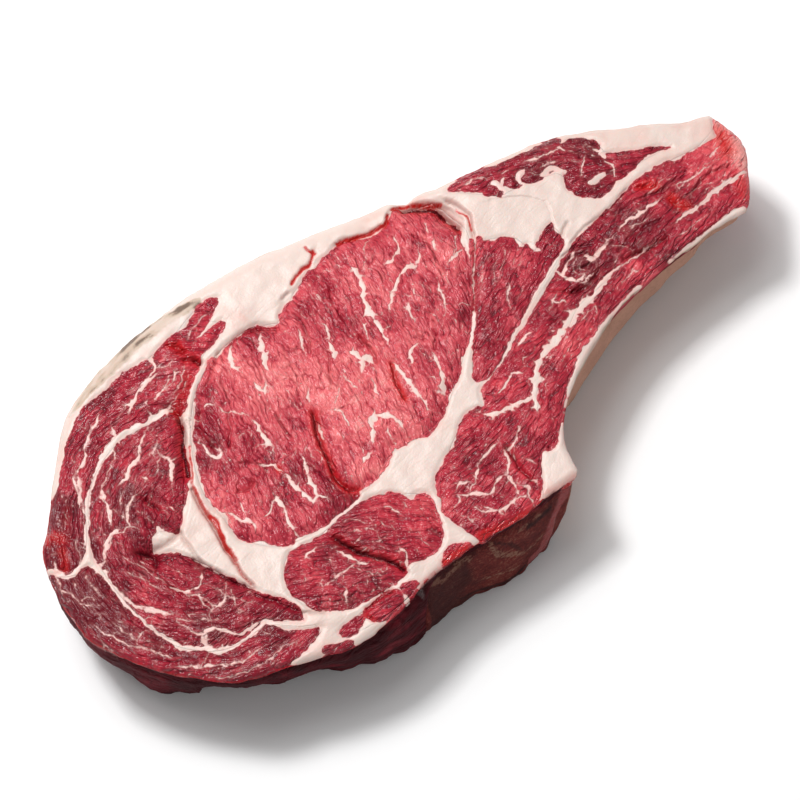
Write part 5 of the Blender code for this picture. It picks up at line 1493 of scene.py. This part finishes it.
@dataclass
class Cut:
    """One solid of the steak as a fine piece: its node, a slot name that is not used, and how its grain map
    lies.
    """

    node: str
    slot: str
    grain: float = 90.0
    arc: tuple[float, float] | None = None
    covered: bool = False
    coarse: float = 1.0
    piece: bpy.types.Object | None = None

    # How far hidden faces grow to close the gap to a neighbour, for meat and fat and for the bone
    CLOSE_SEAM = 0.19
    CLOSE_BONE = 0.4
    # When halving stops: after so many rounds, or when no edge is longer than this many times its aim
    MOST_ROUNDS = 6
    TOO_LONG = 1.35
    # Degrees between faces that count as a sharp edge, and millimetres of grain map for a radian of an arc
    SHARP_ANGLE = 58.0
    ARC_STRETCH = 30.0

    def carve(self, face: CutFace) -> None:
        """Makes the piece from its solid: merged, divided, and laid on the charts.

        Args:
            face: The charts of the cut face.
        """
        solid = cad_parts[self.node]
        data = solid.data.copy()
        data.name = self.node + "_cut"
        data.materials.clear()
        self.piece = bpy.data.objects.new(self.node + "_cut", data)
        bpy.context.scene.collection.objects.link(self.piece)
        bpy.ops.object.select_all(action="DESELECT")
        self.piece.select_set(True)
        bpy.context.view_layer.objects.active = self.piece
        bpy.ops.object.mode_set(mode="EDIT")
        bpy.ops.mesh.select_all(action="SELECT")
        bpy.ops.mesh.remove_doubles(threshold=1e-6)
        bpy.ops.object.mode_set(mode="OBJECT")
        self.sort_faces(face)
        self.divide()
        self.lay_on(face)

    def points(self) -> Array:
        """The piece's points in millimetres, moved to the plan's origin.

        Returns:
            The places, one a row.
        """
        places = taken(self.piece.data.vertices, "co", np.float32, 3).astype(float) / MM
        places[:, :2] += PLAN_CENTRE
        return places

    def move_to(self, places: Array) -> None:
        """Moves the piece's points to places in millimetres of the plan.

        Args:
            places: The places, one a row.
        """
        moved = places.copy()
        moved[:, :2] -= PLAN_CENTRE
        moved = np.clip(moved * MM, *CAD_BOX)
        self.piece.data.vertices.foreach_set("co", moved.astype(np.float32).ravel())
        self.piece.data.update()

    def sort_faces(self, face: CutFace) -> None:
        """Marks what each face is, which points lie on the upper face, and closes the seams.

        Args:
            face: The charts of the cut face.
        """
        read = face.chart.read
        data = self.piece.data
        places = self.points()
        corners = taken(data.polygons, "vertices", np.int32, 3)
        a, b, c = (places[corners[:, k]] for k in range(3))
        normal = np.cross(b - a, c - a)
        normal /= np.linalg.norm(normal, axis=1)[:, None] + 1e-12
        middle = (a + b + c) / 3
        plan_x, plan_y = face.plan_of(middle)
        depth = read(face.edge, plan_x, plan_y)
        out_x = read(face.out_x, plan_x, plan_y)
        out_y = read(face.out_y, plan_x, plan_y)
        facing = normal[:, 0] * out_x + normal[:, 1] * out_y
        kind = np.full(len(corners), Ground.HIDDEN.value)
        kind[(normal[:, 2] < -0.4) & (middle[:, 2] < 15.0)] = Ground.FOOT.value
        kind[(facing > 0.3) & (depth < 2.4)] = Ground.WALL.value
        if not self.covered:
            kind[(normal[:, 2] > 0.3) & (middle[:, 2] > THICKNESS - 12.0)] = Ground.FACE.value
        upper = kind == Ground.FACE.value
        grade = data.attributes.new("grade", "FLOAT", "FACE")
        grade.data.foreach_set("value", np.where(upper, kind * self.coarse, kind).astype(np.float32))
        cover = np.zeros(len(places), np.float32)
        cover[np.unique(corners[upper])] = 1.0
        data.attributes.new("cover", "FLOAT", "POINT").data.foreach_set("value", cover)
        side = np.zeros((len(places), 3))
        hidden = kind == Ground.HIDDEN.value
        for k in range(3):
            np.add.at(side, corners[hidden, k], normal[hidden])
        if not self.covered:
            side[:, 2] = 0.0
        length = np.linalg.norm(side, axis=1)
        far = self.CLOSE_BONE if self.covered else self.CLOSE_SEAM
        places += np.where(length > 0.2, far / np.maximum(length, 0.2), 0.0)[:, None] * side
        self.move_to(places)

    def divide(self) -> None:
        """Halves every edge that is long for the ground it lies on, until none is."""
        data = self.piece.data
        for _ in range(self.MOST_ROUNDS):
            places = taken(data.vertices, "co", np.float32, 3) / MM
            ends = taken(data.edges, "vertices", np.int32, 2)
            length = np.linalg.norm(places[ends[:, 0]] - places[ends[:, 1]], axis=1)
            grade = taken(data.attributes["grade"].data, "value", np.float32)
            edge_of = taken(data.loops, "edge_index", np.int32)
            wanted = np.full(len(data.edges), 99.0)
            np.minimum.at(wanted, edge_of, np.repeat(grade, 3))
            long = length > self.TOO_LONG * wanted
            if not long.any():
                break
            data.vertices.foreach_set("select", np.zeros(len(data.vertices), bool))
            data.polygons.foreach_set("select", np.zeros(len(data.polygons), bool))
            data.edges.foreach_set("select", long)
            bpy.context.tool_settings.mesh_select_mode = (False, True, False)
            bpy.ops.object.mode_set(mode="EDIT")
            bpy.ops.mesh.subdivide(number_cuts=1, ngon=False)
            bpy.ops.mesh.select_all(action="SELECT")
            bpy.ops.mesh.quads_convert_to_tris(quad_method="SHORTEST_DIAGONAL", ngon_method="BEAUTY")
            bpy.ops.object.mode_set(mode="OBJECT")
            data = self.piece.data

    def lay_on(self, face: CutFace) -> None:
        """Gives every point its height, its raggedness, and what the finishes read.

        Args:
            face: The charts of the cut face.
        """
        data = self.piece.data
        places = self.points()
        cover = taken(data.attributes["cover"].data, "value", np.float32)
        plan_x, plan_y = face.plan_of(places)
        look = face.look_at(plan_x, plan_y, places[:, 2], cover)
        self.move_to(face.settle(plan_x, plan_y, places[:, 2], cover, self.covered))
        for name, values in look.items():
            data.attributes.new(name, "FLOAT", "POINT").data.foreach_set("value", values.astype(np.float32))
        self.map_grain(plan_x, plan_y, places[:, 2])
        data.attributes.remove(data.attributes["grade"])
        data.shade_smooth()
        data.set_sharp_from_angle(angle=math.radians(self.SHARP_ANGLE))

    def map_grain(self, x: Array, y: Array, z: Array) -> None:
        """Lays a map with its first axis along the grain, in centimetres.

        Args:
            x: Plan places.
            y: Plan places.
            z: Heights.
        """
        if self.arc:
            away = np.hypot(x - self.arc[0], y - self.arc[1])
            turn = np.arctan2(y - self.arc[1], -(x - self.arc[0]))
            along, across = turn * self.ARC_STRETCH, away
        else:
            turn = math.radians(self.grain)
            along = x * math.cos(turn) + y * math.sin(turn)
            across = y * math.cos(turn) - x * math.sin(turn)
        at = np.stack([along, across + 0.6 * z], axis=1) * 0.1
        data = self.piece.data
        corner = taken(data.loops, "vertex_index", np.int32)
        layer = data.uv_layers.new(name="grain")
        layer.data.foreach_set("uv", at[corner].astype(np.float32).ravel())

    def dress(self, finish: bpy.types.Material) -> None:
        """Gives the piece its finish, hangs it under the root body and hides the solid it stands for.

        Args:
            finish: The material.
        """
        self.piece.data.materials.append(finish)
        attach(self.piece, "root")
        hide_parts(self.node)


class Number:
    """A value in a material's nodes. Sums and products of it add their own nodes."""

    def __init__(self, nodes: "Nodes", socket: Socket) -> None:
        """Wraps the socket that gives the value."""
        self.nodes = nodes
        self.socket = socket

    def math(self, operation: str, *values: "Number | float") -> "Number":
        """The result of a Math node on the given values."""
        node = self.nodes.add("ShaderNodeMath", {"operation": operation}, dict(enumerate((self, *values))))
        return Number(self.nodes, node.outputs[0])

    def __add__(self, other: "Number | float") -> "Number":
        """The sum."""
        return self.math("ADD", other)

    __radd__ = __add__

    def __sub__(self, other: "Number | float") -> "Number":
        """The difference."""
        return self.math("SUBTRACT", other)

    def __rsub__(self, other: float) -> "Number":
        """The difference, taken from a plain number."""
        return self.math("MULTIPLY_ADD", -1.0, other)

    def __mul__(self, other: "Number | float") -> "Number":
        """The product."""
        return self.math("MULTIPLY", other)

    __rmul__ = __mul__

    def step(self, low: float, high: float) -> "Number":
        """0 below low, 1 above high, and smooth between.

        Args:
            low: Where it leaves 0.
            high: Where it reaches 1.

        Returns:
            The eased value.
        """
        node = self.nodes.add(
            "ShaderNodeMapRange", {"interpolation_type": "SMOOTHSTEP"},
            {"Value": self, "From Min": low, "From Max": high},
        )
        return Number(self.nodes, node.outputs["Result"])

    def clamp(self) -> "Number":
        """The value kept between 0 and 1."""
        return self.math("MAXIMUM", 0.0).math("MINIMUM", 1.0)


class Nodes:
    """The nodes of one material."""

    def __init__(self, name: str) -> None:
        """Starts a material with its surface shader and nothing else.

        Args:
            name: The material's name.
        """
        self.material = bpy.data.materials.new(name)
        self.material.use_nodes = True
        self.tree = self.material.node_tree
        self.shader = self.tree.nodes["Principled BSDF"]

    def add(self, kind: str, settings: dict | None = None, sockets: dict | None = None) -> bpy.types.Node:
        """Adds a node.

        Args:
            kind: The node's type.
            settings: Its own settings, set first. "stops" gives a ramp its places and colours.
            sockets: Values or links, by the sockets' names or numbers.

        Returns:
            The node.
        """
        node = self.tree.nodes.new(kind)
        for name, value in (settings or {}).items():
            if name == "stops":
                ramp = node.color_ramp
                while len(ramp.elements) < len(value):
                    ramp.elements.new(0.5)
                for element, (place, colour) in zip(ramp.elements, value):
                    element.position = place
                    element.color = (*colour, 1.0)
            else:
                setattr(node, name, value)
        for name, value in (sockets or {}).items():
            self.feed(node.inputs[name], value)
        return node

    def feed(self, socket: Socket, value: object) -> None:
        """Links or sets one socket.

        Args:
            socket: The socket.
            value: A number in nodes, another socket, or a plain value.
        """
        if isinstance(value, Number):
            self.tree.links.new(value.socket, socket)
        elif isinstance(value, Socket):
            self.tree.links.new(value, socket)
        elif isinstance(value, tuple) and socket.type == "RGBA":
            socket.default_value = (*value, 1.0)
        else:
            socket.default_value = value

    def surface(self, **sockets: object) -> None:
        """Sets or links the surface shader's sockets, named with underscores for spaces."""
        for name, value in sockets.items():
            self.feed(self.shader.inputs[name.replace("_", " ")], value)

    def cover(self, share: Number, **sockets: object) -> None:
        """Covers a share of the surface with a second shader, its sockets given as for the first.

        Args:
            share: How much of it is covered.
            sockets: Values or links, by name.
        """
        second = self.add("ShaderNodeBsdfPrincipled", {}, {
            name.replace("_", " "): value for name, value in sockets.items()
        })
        both = self.add("ShaderNodeMixShader", {}, {
            0: share, 1: self.shader.outputs["BSDF"], 2: second.outputs["BSDF"],
        })
        self.feed(self.tree.nodes["Material Output"].inputs["Surface"], both.outputs["Shader"])

    def chart(self, name: str) -> Number:
        """A number that the piece carries at each point."""
        node = self.add("ShaderNodeAttribute", {"attribute_name": name})
        return Number(self, node.outputs["Fac"])

    def place(self) -> Socket:
        """The point's place on the object, in metres."""
        return self.add("ShaderNodeTexCoord").outputs["Object"]

    def grain(self, along: float, across: float) -> Socket:
        """The place on the grain map, scaled along and across the grain.

        Args:
            along: Scale along the grain.
            across: Scale across it.

        Returns:
            The scaled place.
        """
        place = self.add("ShaderNodeUVMap", {"uv_map": "grain"}).outputs["UV"]
        scale = (along, across, 1.0)
        return self.add("ShaderNodeVectorMath", {"operation": "MULTIPLY"}, {0: place, 1: scale}).outputs[0]

    def noise(self, vector: Socket, scale: float, detail: float = 2.0,
              rough: float = 0.55, twist: float = 0.0) -> Number:
        """Uneven values from about -1 to 1.

        Args:
            vector: The place that it is read at.
            scale: How fine it is.
            detail: How many finer layers.
            rough: How strong those are.
            twist: How far it distorts itself.

        Returns:
            The value.
        """
        node = self.add("ShaderNodeTexNoise", {"noise_dimensions": "3D"}, {
            "Vector": vector, "Scale": scale, "Detail": detail, "Roughness": rough, "Distortion": twist,
        })
        return Number(self, node.outputs["Fac"]) * 2.0 - 1.0

    def shaken(self, vector: Socket, wobble: float, twist: float, detail: float) -> Socket:
        """A place on a map, shaken by noise.

        Args:
            vector: The place on the map.
            wobble: How fine the noise is.
            twist: How far it shakes the map.
            detail: How many finer layers the noise has.

        Returns:
            The shaken place.
        """
        sockets = {"Vector": self.place(), "Scale": wobble, "Detail": detail}
        shake = self.add("ShaderNodeTexNoise", {}, sockets)
        return self.add("ShaderNodeVectorMath", {"operation": "MULTIPLY_ADD"}, {
            0: shake.outputs["Color"], 1: (twist, twist, 0.0), 2: vector,
        }).outputs[0]

    def cells(self, vector: Socket, wobble: float, twist: float) -> Number:
        """Distance to the nearest border between uneven cells, on a map shaken by noise.

        Args:
            vector: The place on the map.
            wobble: How fine the noise is.
            twist: How far it shakes the map.

        Returns:
            The distance, in shares of a cell.
        """
        node = self.add("ShaderNodeTexVoronoi", {"feature": "DISTANCE_TO_EDGE", "voronoi_dimensions": "2D"}, {
            "Vector": self.shaken(vector, wobble, twist, 1.0), "Scale": 1.0, "Randomness": 1.0,
        })
        return Number(self, node.outputs["Distance"])

    def furrows(self, vector: Socket, wobble: float, twist: float) -> Number:
        """How far a point is from the nearest of many wandering lines, from 0 on them to about 1."""
        return self.noise(self.shaken(vector, wobble, twist, 2.0), 1.0, 1.0, 0.4).math("ABSOLUTE")

    def blend(self, share: "Number | float", low: object, high: object) -> Socket:
        """A colour between two others."""
        return self.add("ShaderNodeMix", {"data_type": "RGBA"}, {0: share, 6: low, 7: high}).outputs[2]

    def ramp(self, value: Number, *stops: tuple[float, tuple]) -> Socket:
        """A colour that changes with a value."""
        return self.add("ShaderNodeValToRGB", {"stops": stops}, {0: value}).outputs["Color"]

    def bump(self, height: Number, distance: float, strength: float) -> Socket:
        """A normal that follows a height in shares of the distance."""
        node = self.add("ShaderNodeBump", {}, {"Height": height, "Distance": distance, "Strength": strength})
        return node.outputs["Normal"]


@dataclass(frozen=True)
class TissueFinish:
    """Raw meat with its fat: deep to pale red by tone, cream fat, wet folds and dry rind."""

    name: str
    gloss: float = 0.2
    fibre: float = 1.0
    deep: tuple = (0.15, 0.004, 0.013)
    dark: tuple = (0.36, 0.013, 0.032)
    middle: tuple = (0.60, 0.066, 0.09)
    pale: tuple = (0.80, 0.165, 0.175)
    pink: tuple = (0.90, 0.37, 0.34)
    blood: tuple = (0.62, 0.012, 0.01)
    cream: tuple = (0.73, 0.59, 0.53)
    rosy: tuple = (0.72, 0.48, 0.42)
    flushed: tuple = (0.86, 0.50, 0.46)
    tan: tuple = (0.54, 0.41, 0.32)
    brown: tuple = (0.17, 0.11, 0.08)
    shadow: tuple = (0.03, 0.002, 0.004)
    fat_shadow: tuple = (0.17, 0.032, 0.024)
    # Strength of the painted glints on the fibre ridges
    painted_glint: float = 0.3

    def make(self) -> bpy.types.Material:
        """Builds the material.

        Returns:
            The material.
        """
        m = Nodes(self.name)
        at = m.place()
        speckle = m.noise(at, 1500.0, 2.0)
        grit = m.noise(at, 3200.0, 2.0)
        thread = m.noise(m.grain(5.0, 16.0), 1.0, 3.0, 0.6, 0.8)
        streak = m.noise(m.grain(2.6, 15.0), 1.0, 2.0, 0.5, 0.3)
        long = m.furrows(m.grain(0.8, 3.0), 150.0, 1.2)
        short = m.furrows(m.grain(1.7, 8.0), 350.0, 0.9)
        cells = m.cells(m.grain(3.4, 7.5), 600.0, 1.4)
        ripple = m.noise(m.grain(22.0, 3.0), 1.0, 1.0, 0.5, 0.6)
        cloud = m.noise(at, 160.0, 3.0)
        wet, gloom = m.chart("wet"), m.chart("gloom")
        rind, wall = m.chart("rind"), m.chart("wall")
        fat_in = m.chart("fat") + speckle * 0.16 + thread * 0.1
        fat = fat_in.step(-0.14, 0.2)
        film = fat_in.step(-1.0, 0.1)
        crack = (1 - long.step(0.0, 0.075)) * (cloud + 0.25).step(0.0, 0.35)
        crease = 1 - short.step(0.0, 0.1)
        # Darker tone in the creases and cracks is painted shade
        tone = m.chart("tone") + streak * (0.1 * self.fibre) + cloud * 0.14 - crease * 0.07 - crack * 0.3
        tone = tone + ripple * 0.03
        meat = m.ramp(
            tone, (0.0, self.deep), (0.3, self.dark), (0.52, self.middle), (0.78, self.pale), (1.0, self.pink)
        )
        # Painted glints: pale pink dots along the fibre ridges, fading in the painted shade
        painted_glint = (streak * self.fibre + speckle * 0.6).step(0.25, 0.55) * short.step(0.06, 0.2)
        meat = m.blend((painted_glint * self.painted_glint + film * 0.08) * (1 - gloom), meat, self.pink)
        blush = (m.chart("blush") * 0.9 + cloud * 0.4).step(-0.2, 1.1)
        white = m.blend(blush, self.cream, self.rosy)
        white = m.blend((1 - fat_in.step(0.1, 0.75)) * 0.7, white, self.flushed)
        crust = m.blend((rind + cloud * 0.2 + speckle * 0.15).step(0.5, 1.0), self.tan, self.brown)
        white = m.blend(rind.step(0.0, 0.45), white, crust)
        colour = m.blend(fat, meat, white)
        stain = (wet * (1 - 0.66 * fat) * (0.85 + thread * 0.6)).clamp()
        colour = m.blend(stain, colour, self.blood)
        # Painted shade: near-black on meat and red-brown on fat where the shade chart is high
        shade = m.blend(fat, self.shadow, self.fat_shadow)
        colour = m.blend((gloom * (1 - 0.3 * fat)).clamp() * 0.95, colour, shade)
        damp = wet.clamp()
        rough = self.gloss + speckle * 0.07 + fat * 0.16 + rind * 0.2 - damp * 0.08 + cloud * 0.05
        dull = wall * (1 - damp)
        lean = 1 - fat * 0.92
        height = long.step(0.0, 0.2) * 2.0 + short.step(0.0, 0.25) * 0.8 + cells.step(0.0, 0.4) * 0.35
        height = (height + ripple * 0.3 + thread * 0.15 + streak * (0.7 * self.fibre)) * lean
        normal = m.bump(height + grit * 0.15 + speckle * 0.2, 0.0002, 1.0)
        m.surface(
            Base_Color=colour, Roughness=rough.clamp(), Normal=normal, IOR=1.42,
            Subsurface_Weight=0.16, Subsurface_Scale=0.0022, Subsurface_Radius=(1.0, 0.32, 0.22),
        )
        m.cover(dull, Base_Color=colour, Normal=normal, Roughness=0.7, Specular_IOR_Level=0.06)
        return m.material


@dataclass(frozen=True)
class BoneFinish:
    """Sawn bone, dark and flecked, and the tan skin that covers the rib."""

    name: str
    marrow: tuple = (0.11, 0.012, 0.011)
    spongy: tuple = (0.31, 0.042, 0.032)
    chip: tuple = (0.42, 0.21, 0.14)
    skin: tuple = (0.86, 0.46, 0.33)
    skin_dark: tuple = (0.58, 0.28, 0.19)
    clot: tuple = (0.022, 0.004, 0.005)
    flesh: tuple = (0.46, 0.03, 0.03)

    def make(self) -> bpy.types.Material:
        """Builds the material.

        Returns:
            The material.
        """
        m = Nodes(self.name)
        at = m.place()
        pore = m.noise(at, 1100.0, 3.0, 0.7)
        grit = m.noise(at, 3000.0, 2.0, 0.7)
        cloud = m.noise(at, 130.0, 4.0, 0.65)
        flat = m.add("ShaderNodeMapping", {}, {"Vector": at, "Scale": (500.0, 500.0, 1400.0)}).outputs[0]
        streak = m.noise(flat, 1.0, 3.0)
        pale = m.chart("pale")
        chip = (streak * 0.7 + pore * 1.1 + cloud * 0.5 + pale * 0.6).step(0.15, 0.8)
        sponge = (pore * 1.0 + grit * 0.7 + cloud * 0.7 + streak * 0.4).step(-0.6, 0.7)
        cut = m.blend(sponge, self.marrow, self.spongy)
        cut = m.blend(chip * 0.85, cut, self.chip)
        skin = m.blend((pore * 0.6 + cloud * 0.5).step(-0.5, 0.8), self.skin, self.skin_dark)
        colour = m.blend(m.chart("sawn"), skin, cut)
        colour = m.blend(m.chart("clot") * (0.85 - pale * 0.5), colour, self.clot)
        wet = m.chart("wet").clamp()
        colour = m.blend(wet * (0.9 + cloud * 0.3).clamp(), colour, self.flesh)
        normal = m.bump(pore * 0.9 + grit * 0.4 + streak * 0.6 + cloud * 1.2, 0.0009, 1.0)
        m.surface(Base_Color=colour, Roughness=0.28, Normal=normal, IOR=1.4)
        m.cover(1 - wet, Base_Color=colour, Normal=normal, Roughness=0.75, Specular_IOR_Level=0.15)
        return m.material


@dataclass
class Studio:
    """A pale floor, soft light from the far left, and the camera above the near left."""

    floor_size: float = 6.0
    key_watts: float = 8.7
    key_size: float = 0.8
    key_heading: float = 102.0
    key_pitch: float = 65.0
    key_distance: float = 1.4
    spark_watts: float = 8.5
    spark_size: float = 0.2
    spark_heading: float = 108.0
    spark_pitch: float = 63.0
    spark_distance: float = 1.2
    sky: float = 0.34

    def build(self) -> None:
        """Adds the floor, the lights and the camera."""
        bpy.ops.mesh.primitive_plane_add(size=self.floor_size, location=(0.0, 0.0, 0.0))
        floor = bpy.context.object
        floor.name = "pale_floor"
        m = Nodes("pale_floor")
        m.surface(Base_Color=(0.97, 0.97, 0.97), Roughness=0.9)
        floor.data.materials.append(m.material)
        aim = PHOTO.direction(self.key_heading, self.key_pitch)
        self.lamp("key_light", aim, self.key_distance, self.key_size, self.key_watts)
        aim = PHOTO.direction(self.spark_heading, self.spark_pitch)
        self.lamp("spark_light", aim, self.spark_distance, self.spark_size, self.spark_watts)
        world = bpy.data.worlds.new("pale_room")
        world.use_nodes = True
        world.node_tree.nodes["Background"].inputs["Color"].default_value = (1.0, 1.0, 1.0, 1.0)
        world.node_tree.nodes["Background"].inputs["Strength"].default_value = self.sky
        bpy.context.scene.world = world
        bpy.context.scene.view_settings.view_transform = "Standard"
        self.camera()

    def lamp(self, name: str, direction: Array, distance: float, size: float, watts: float) -> None:
        """Adds a square soft light that faces the steak.

        Args:
            name: Its name.
            direction: Where it stands, seen from the steak.
            distance: How far away.
            size: Its side.
            watts: Its power.
        """
        bpy.ops.object.light_add(type="AREA", location=PHOTO.look_at + direction * distance)
        lamp = bpy.context.object
        lamp.name = name
        lamp.rotation_euler = Vector(direction).to_track_quat("Z", "Y").to_euler()
        lamp.data.size = size
        lamp.data.energy = watts

    def camera(self) -> None:
        """Adds the camera at the photograph's angle."""
        back = PHOTO.back()
        bpy.ops.object.camera_add(location=PHOTO.look_at + back * PHOTO.distance)
        camera = bpy.context.object
        camera.name = "photo_camera"
        camera.rotation_euler = Vector(back).to_track_quat("Z", "Y").to_euler()
        camera.data.sensor_width = PHOTO.sensor
        camera.data.lens = PHOTO.lens
        camera.data.clip_start = 0.01
        bpy.context.scene.camera = camera


# How the tissue finish differs on dark meat
DARK_MEAT = {"painted_glint": 0.12, "middle": (0.56, 0.037, 0.06), "pale": (0.76, 0.12, 0.135)}


@dataclass
class Portion:
    """Pieces of the steak that are built and dressed together, and what shows of them on the cut face."""

    muscles: tuple[Muscle, ...] = ()
    veins: tuple = ()
    pieces: tuple[Cut, ...] = ()

    def cuts(self) -> tuple[Cut, ...]:
        """Its pieces, not yet built."""
        raise NotImplementedError

    def finish(self) -> TissueFinish | BoneFinish:
        """What its pieces are dressed in."""
        raise NotImplementedError

    def build(self, face: CutFace) -> None:
        """Makes the meshes of its pieces.

        Args:
            face: The charts of the cut face.
        """
        self.pieces = self.cuts()
        for piece in self.pieces:
            piece.carve(face)

    def dress(self) -> None:
        """Gives its pieces their finish, hangs them under the root body and hides their solids."""
        material = self.finish().make()
        for piece in self.pieces:
            piece.dress(material)


@dataclass
class Cap(Portion):
    """The three muscles of the cap, whose grain runs round one place."""

    muscles: tuple[Muscle, ...] = CAP_MUSCLES
    veins: tuple = CAP_VEINS
    whorl: tuple[float, float] = (-78.0, 4.0)

    def cuts(self) -> tuple[Cut, ...]:
        """Its pieces, not yet built."""
        names = ("cap_inner", "cap_upper", "cap_lower")
        return tuple(Cut(name, "cap_meat", arc=self.whorl) for name in names)

    def finish(self) -> TissueFinish:
        """Darker red meat with few painted glints."""
        return TissueFinish("cap_meat_red", painted_glint=0.12, middle=(0.57, 0.033, 0.055), pale=(0.76, 0.11, 0.125))


@dataclass
class RibMeat(Portion):
    """The meat between the ribs, with the finger of meat on its far side. Grains are in degrees from X."""

    muscles: tuple[Muscle, ...] = RIB_MUSCLES
    veins: tuple = RIB_VEINS
    grain: float = 12.0
    finger_grain: float = 18.0

    def cuts(self) -> tuple[Cut, ...]:
        """Its pieces, not yet built."""
        return Cut("rib_meat", "dark_meat", self.grain), Cut("finger_meat", "dark_meat", self.finger_grain)

    def finish(self) -> TissueFinish:
        """Dark red meat with few painted glints."""
        return TissueFinish("rib_meat_red", **DARK_MEAT)


@dataclass
class Eye(Portion):
    """The eye of the rib, the wedge beside it and the strip of blade. Grains are in degrees from X."""

    muscles: tuple[Muscle, ...] = EYE_MUSCLES
    veins: tuple = BLADE_VEINS
    grain: float = 82.0
    wedge_grain: float = 25.0
    blade_grain: float = 160.0

    def cuts(self) -> tuple[Cut, ...]:
        """Its pieces, not yet built."""
        grains = {"rib_eye": self.grain, "rib_wedge": self.wedge_grain, "blade_strip": self.blade_grain}
        return tuple(Cut(name, "eye_meat", grain) for name, grain in grains.items())

    def finish(self) -> TissueFinish:
        """Paler meat with a fine even grain."""
        return TissueFinish("eye_meat_red", fibre=0.4)


@dataclass
class Chine(Portion):
    """The oval muscle at the chine and the strip of meat below it. Grains are in degrees from X."""

    muscles: tuple[Muscle, ...] = CHINE_MUSCLES
    grain: float = 150.0
    strip_grain: float = 170.0

    def cuts(self) -> tuple[Cut, ...]:
        """Its pieces, not yet built."""
        return Cut("chine_eye", "dark_meat", self.grain), Cut("chine_strip", "dark_meat", self.strip_grain)

    def finish(self) -> TissueFinish:
        """Dark red meat with few painted glints."""
        return TissueFinish("chine_meat_red", **DARK_MEAT)


@dataclass
class Fat(Portion):
    """The fat round and between the muscles, and the strip of it along the rib."""

    cover_grain: float = 10.0
    cover_coarseness: float = 1.1
    strip_grain: float = 20.0

    def cuts(self) -> tuple[Cut, ...]:
        """Its pieces, not yet built."""
        cover = Cut("fat_cover", "fat", self.cover_grain, coarse=self.cover_coarseness)
        return cover, Cut("rib_fat", "fat", self.strip_grain)

    def finish(self) -> TissueFinish:
        """The tissue finish as it stands."""
        return TissueFinish("cream_fat")


@dataclass
class RibBone(Portion):
    """The rib and its chine end, under the meat."""

    grain: float = 10.0

    def cuts(self) -> tuple[Cut, ...]:
        """Its piece, not yet built."""
        return (Cut("rib_bone", "bone", self.grain, covered=True),)

    def finish(self) -> BoneFinish:
        """Sawn bone and tan skin."""
        return BoneFinish("sawn_bone")


def main() -> None:
    """Builds and dresses every portion of the steak, then the studio."""
    logging.basicConfig(level=logging.INFO, format="%(message)s")
    log = logging.getLogger("steak")
    portions = (Cap(), RibMeat(), Eye(), Chine(), Fat(), RibBone())
    face = CutFace(portions)
    log.info("charts of the cut face drawn")
    for portion in portions:
        portion.build(face)
        portion.dress()
        for cut in portion.pieces:
            log.info("%s: %d triangles", cut.node, len(cut.piece.data.polygons))
    Studio().build()


if __name__ == "__main__":
    main()
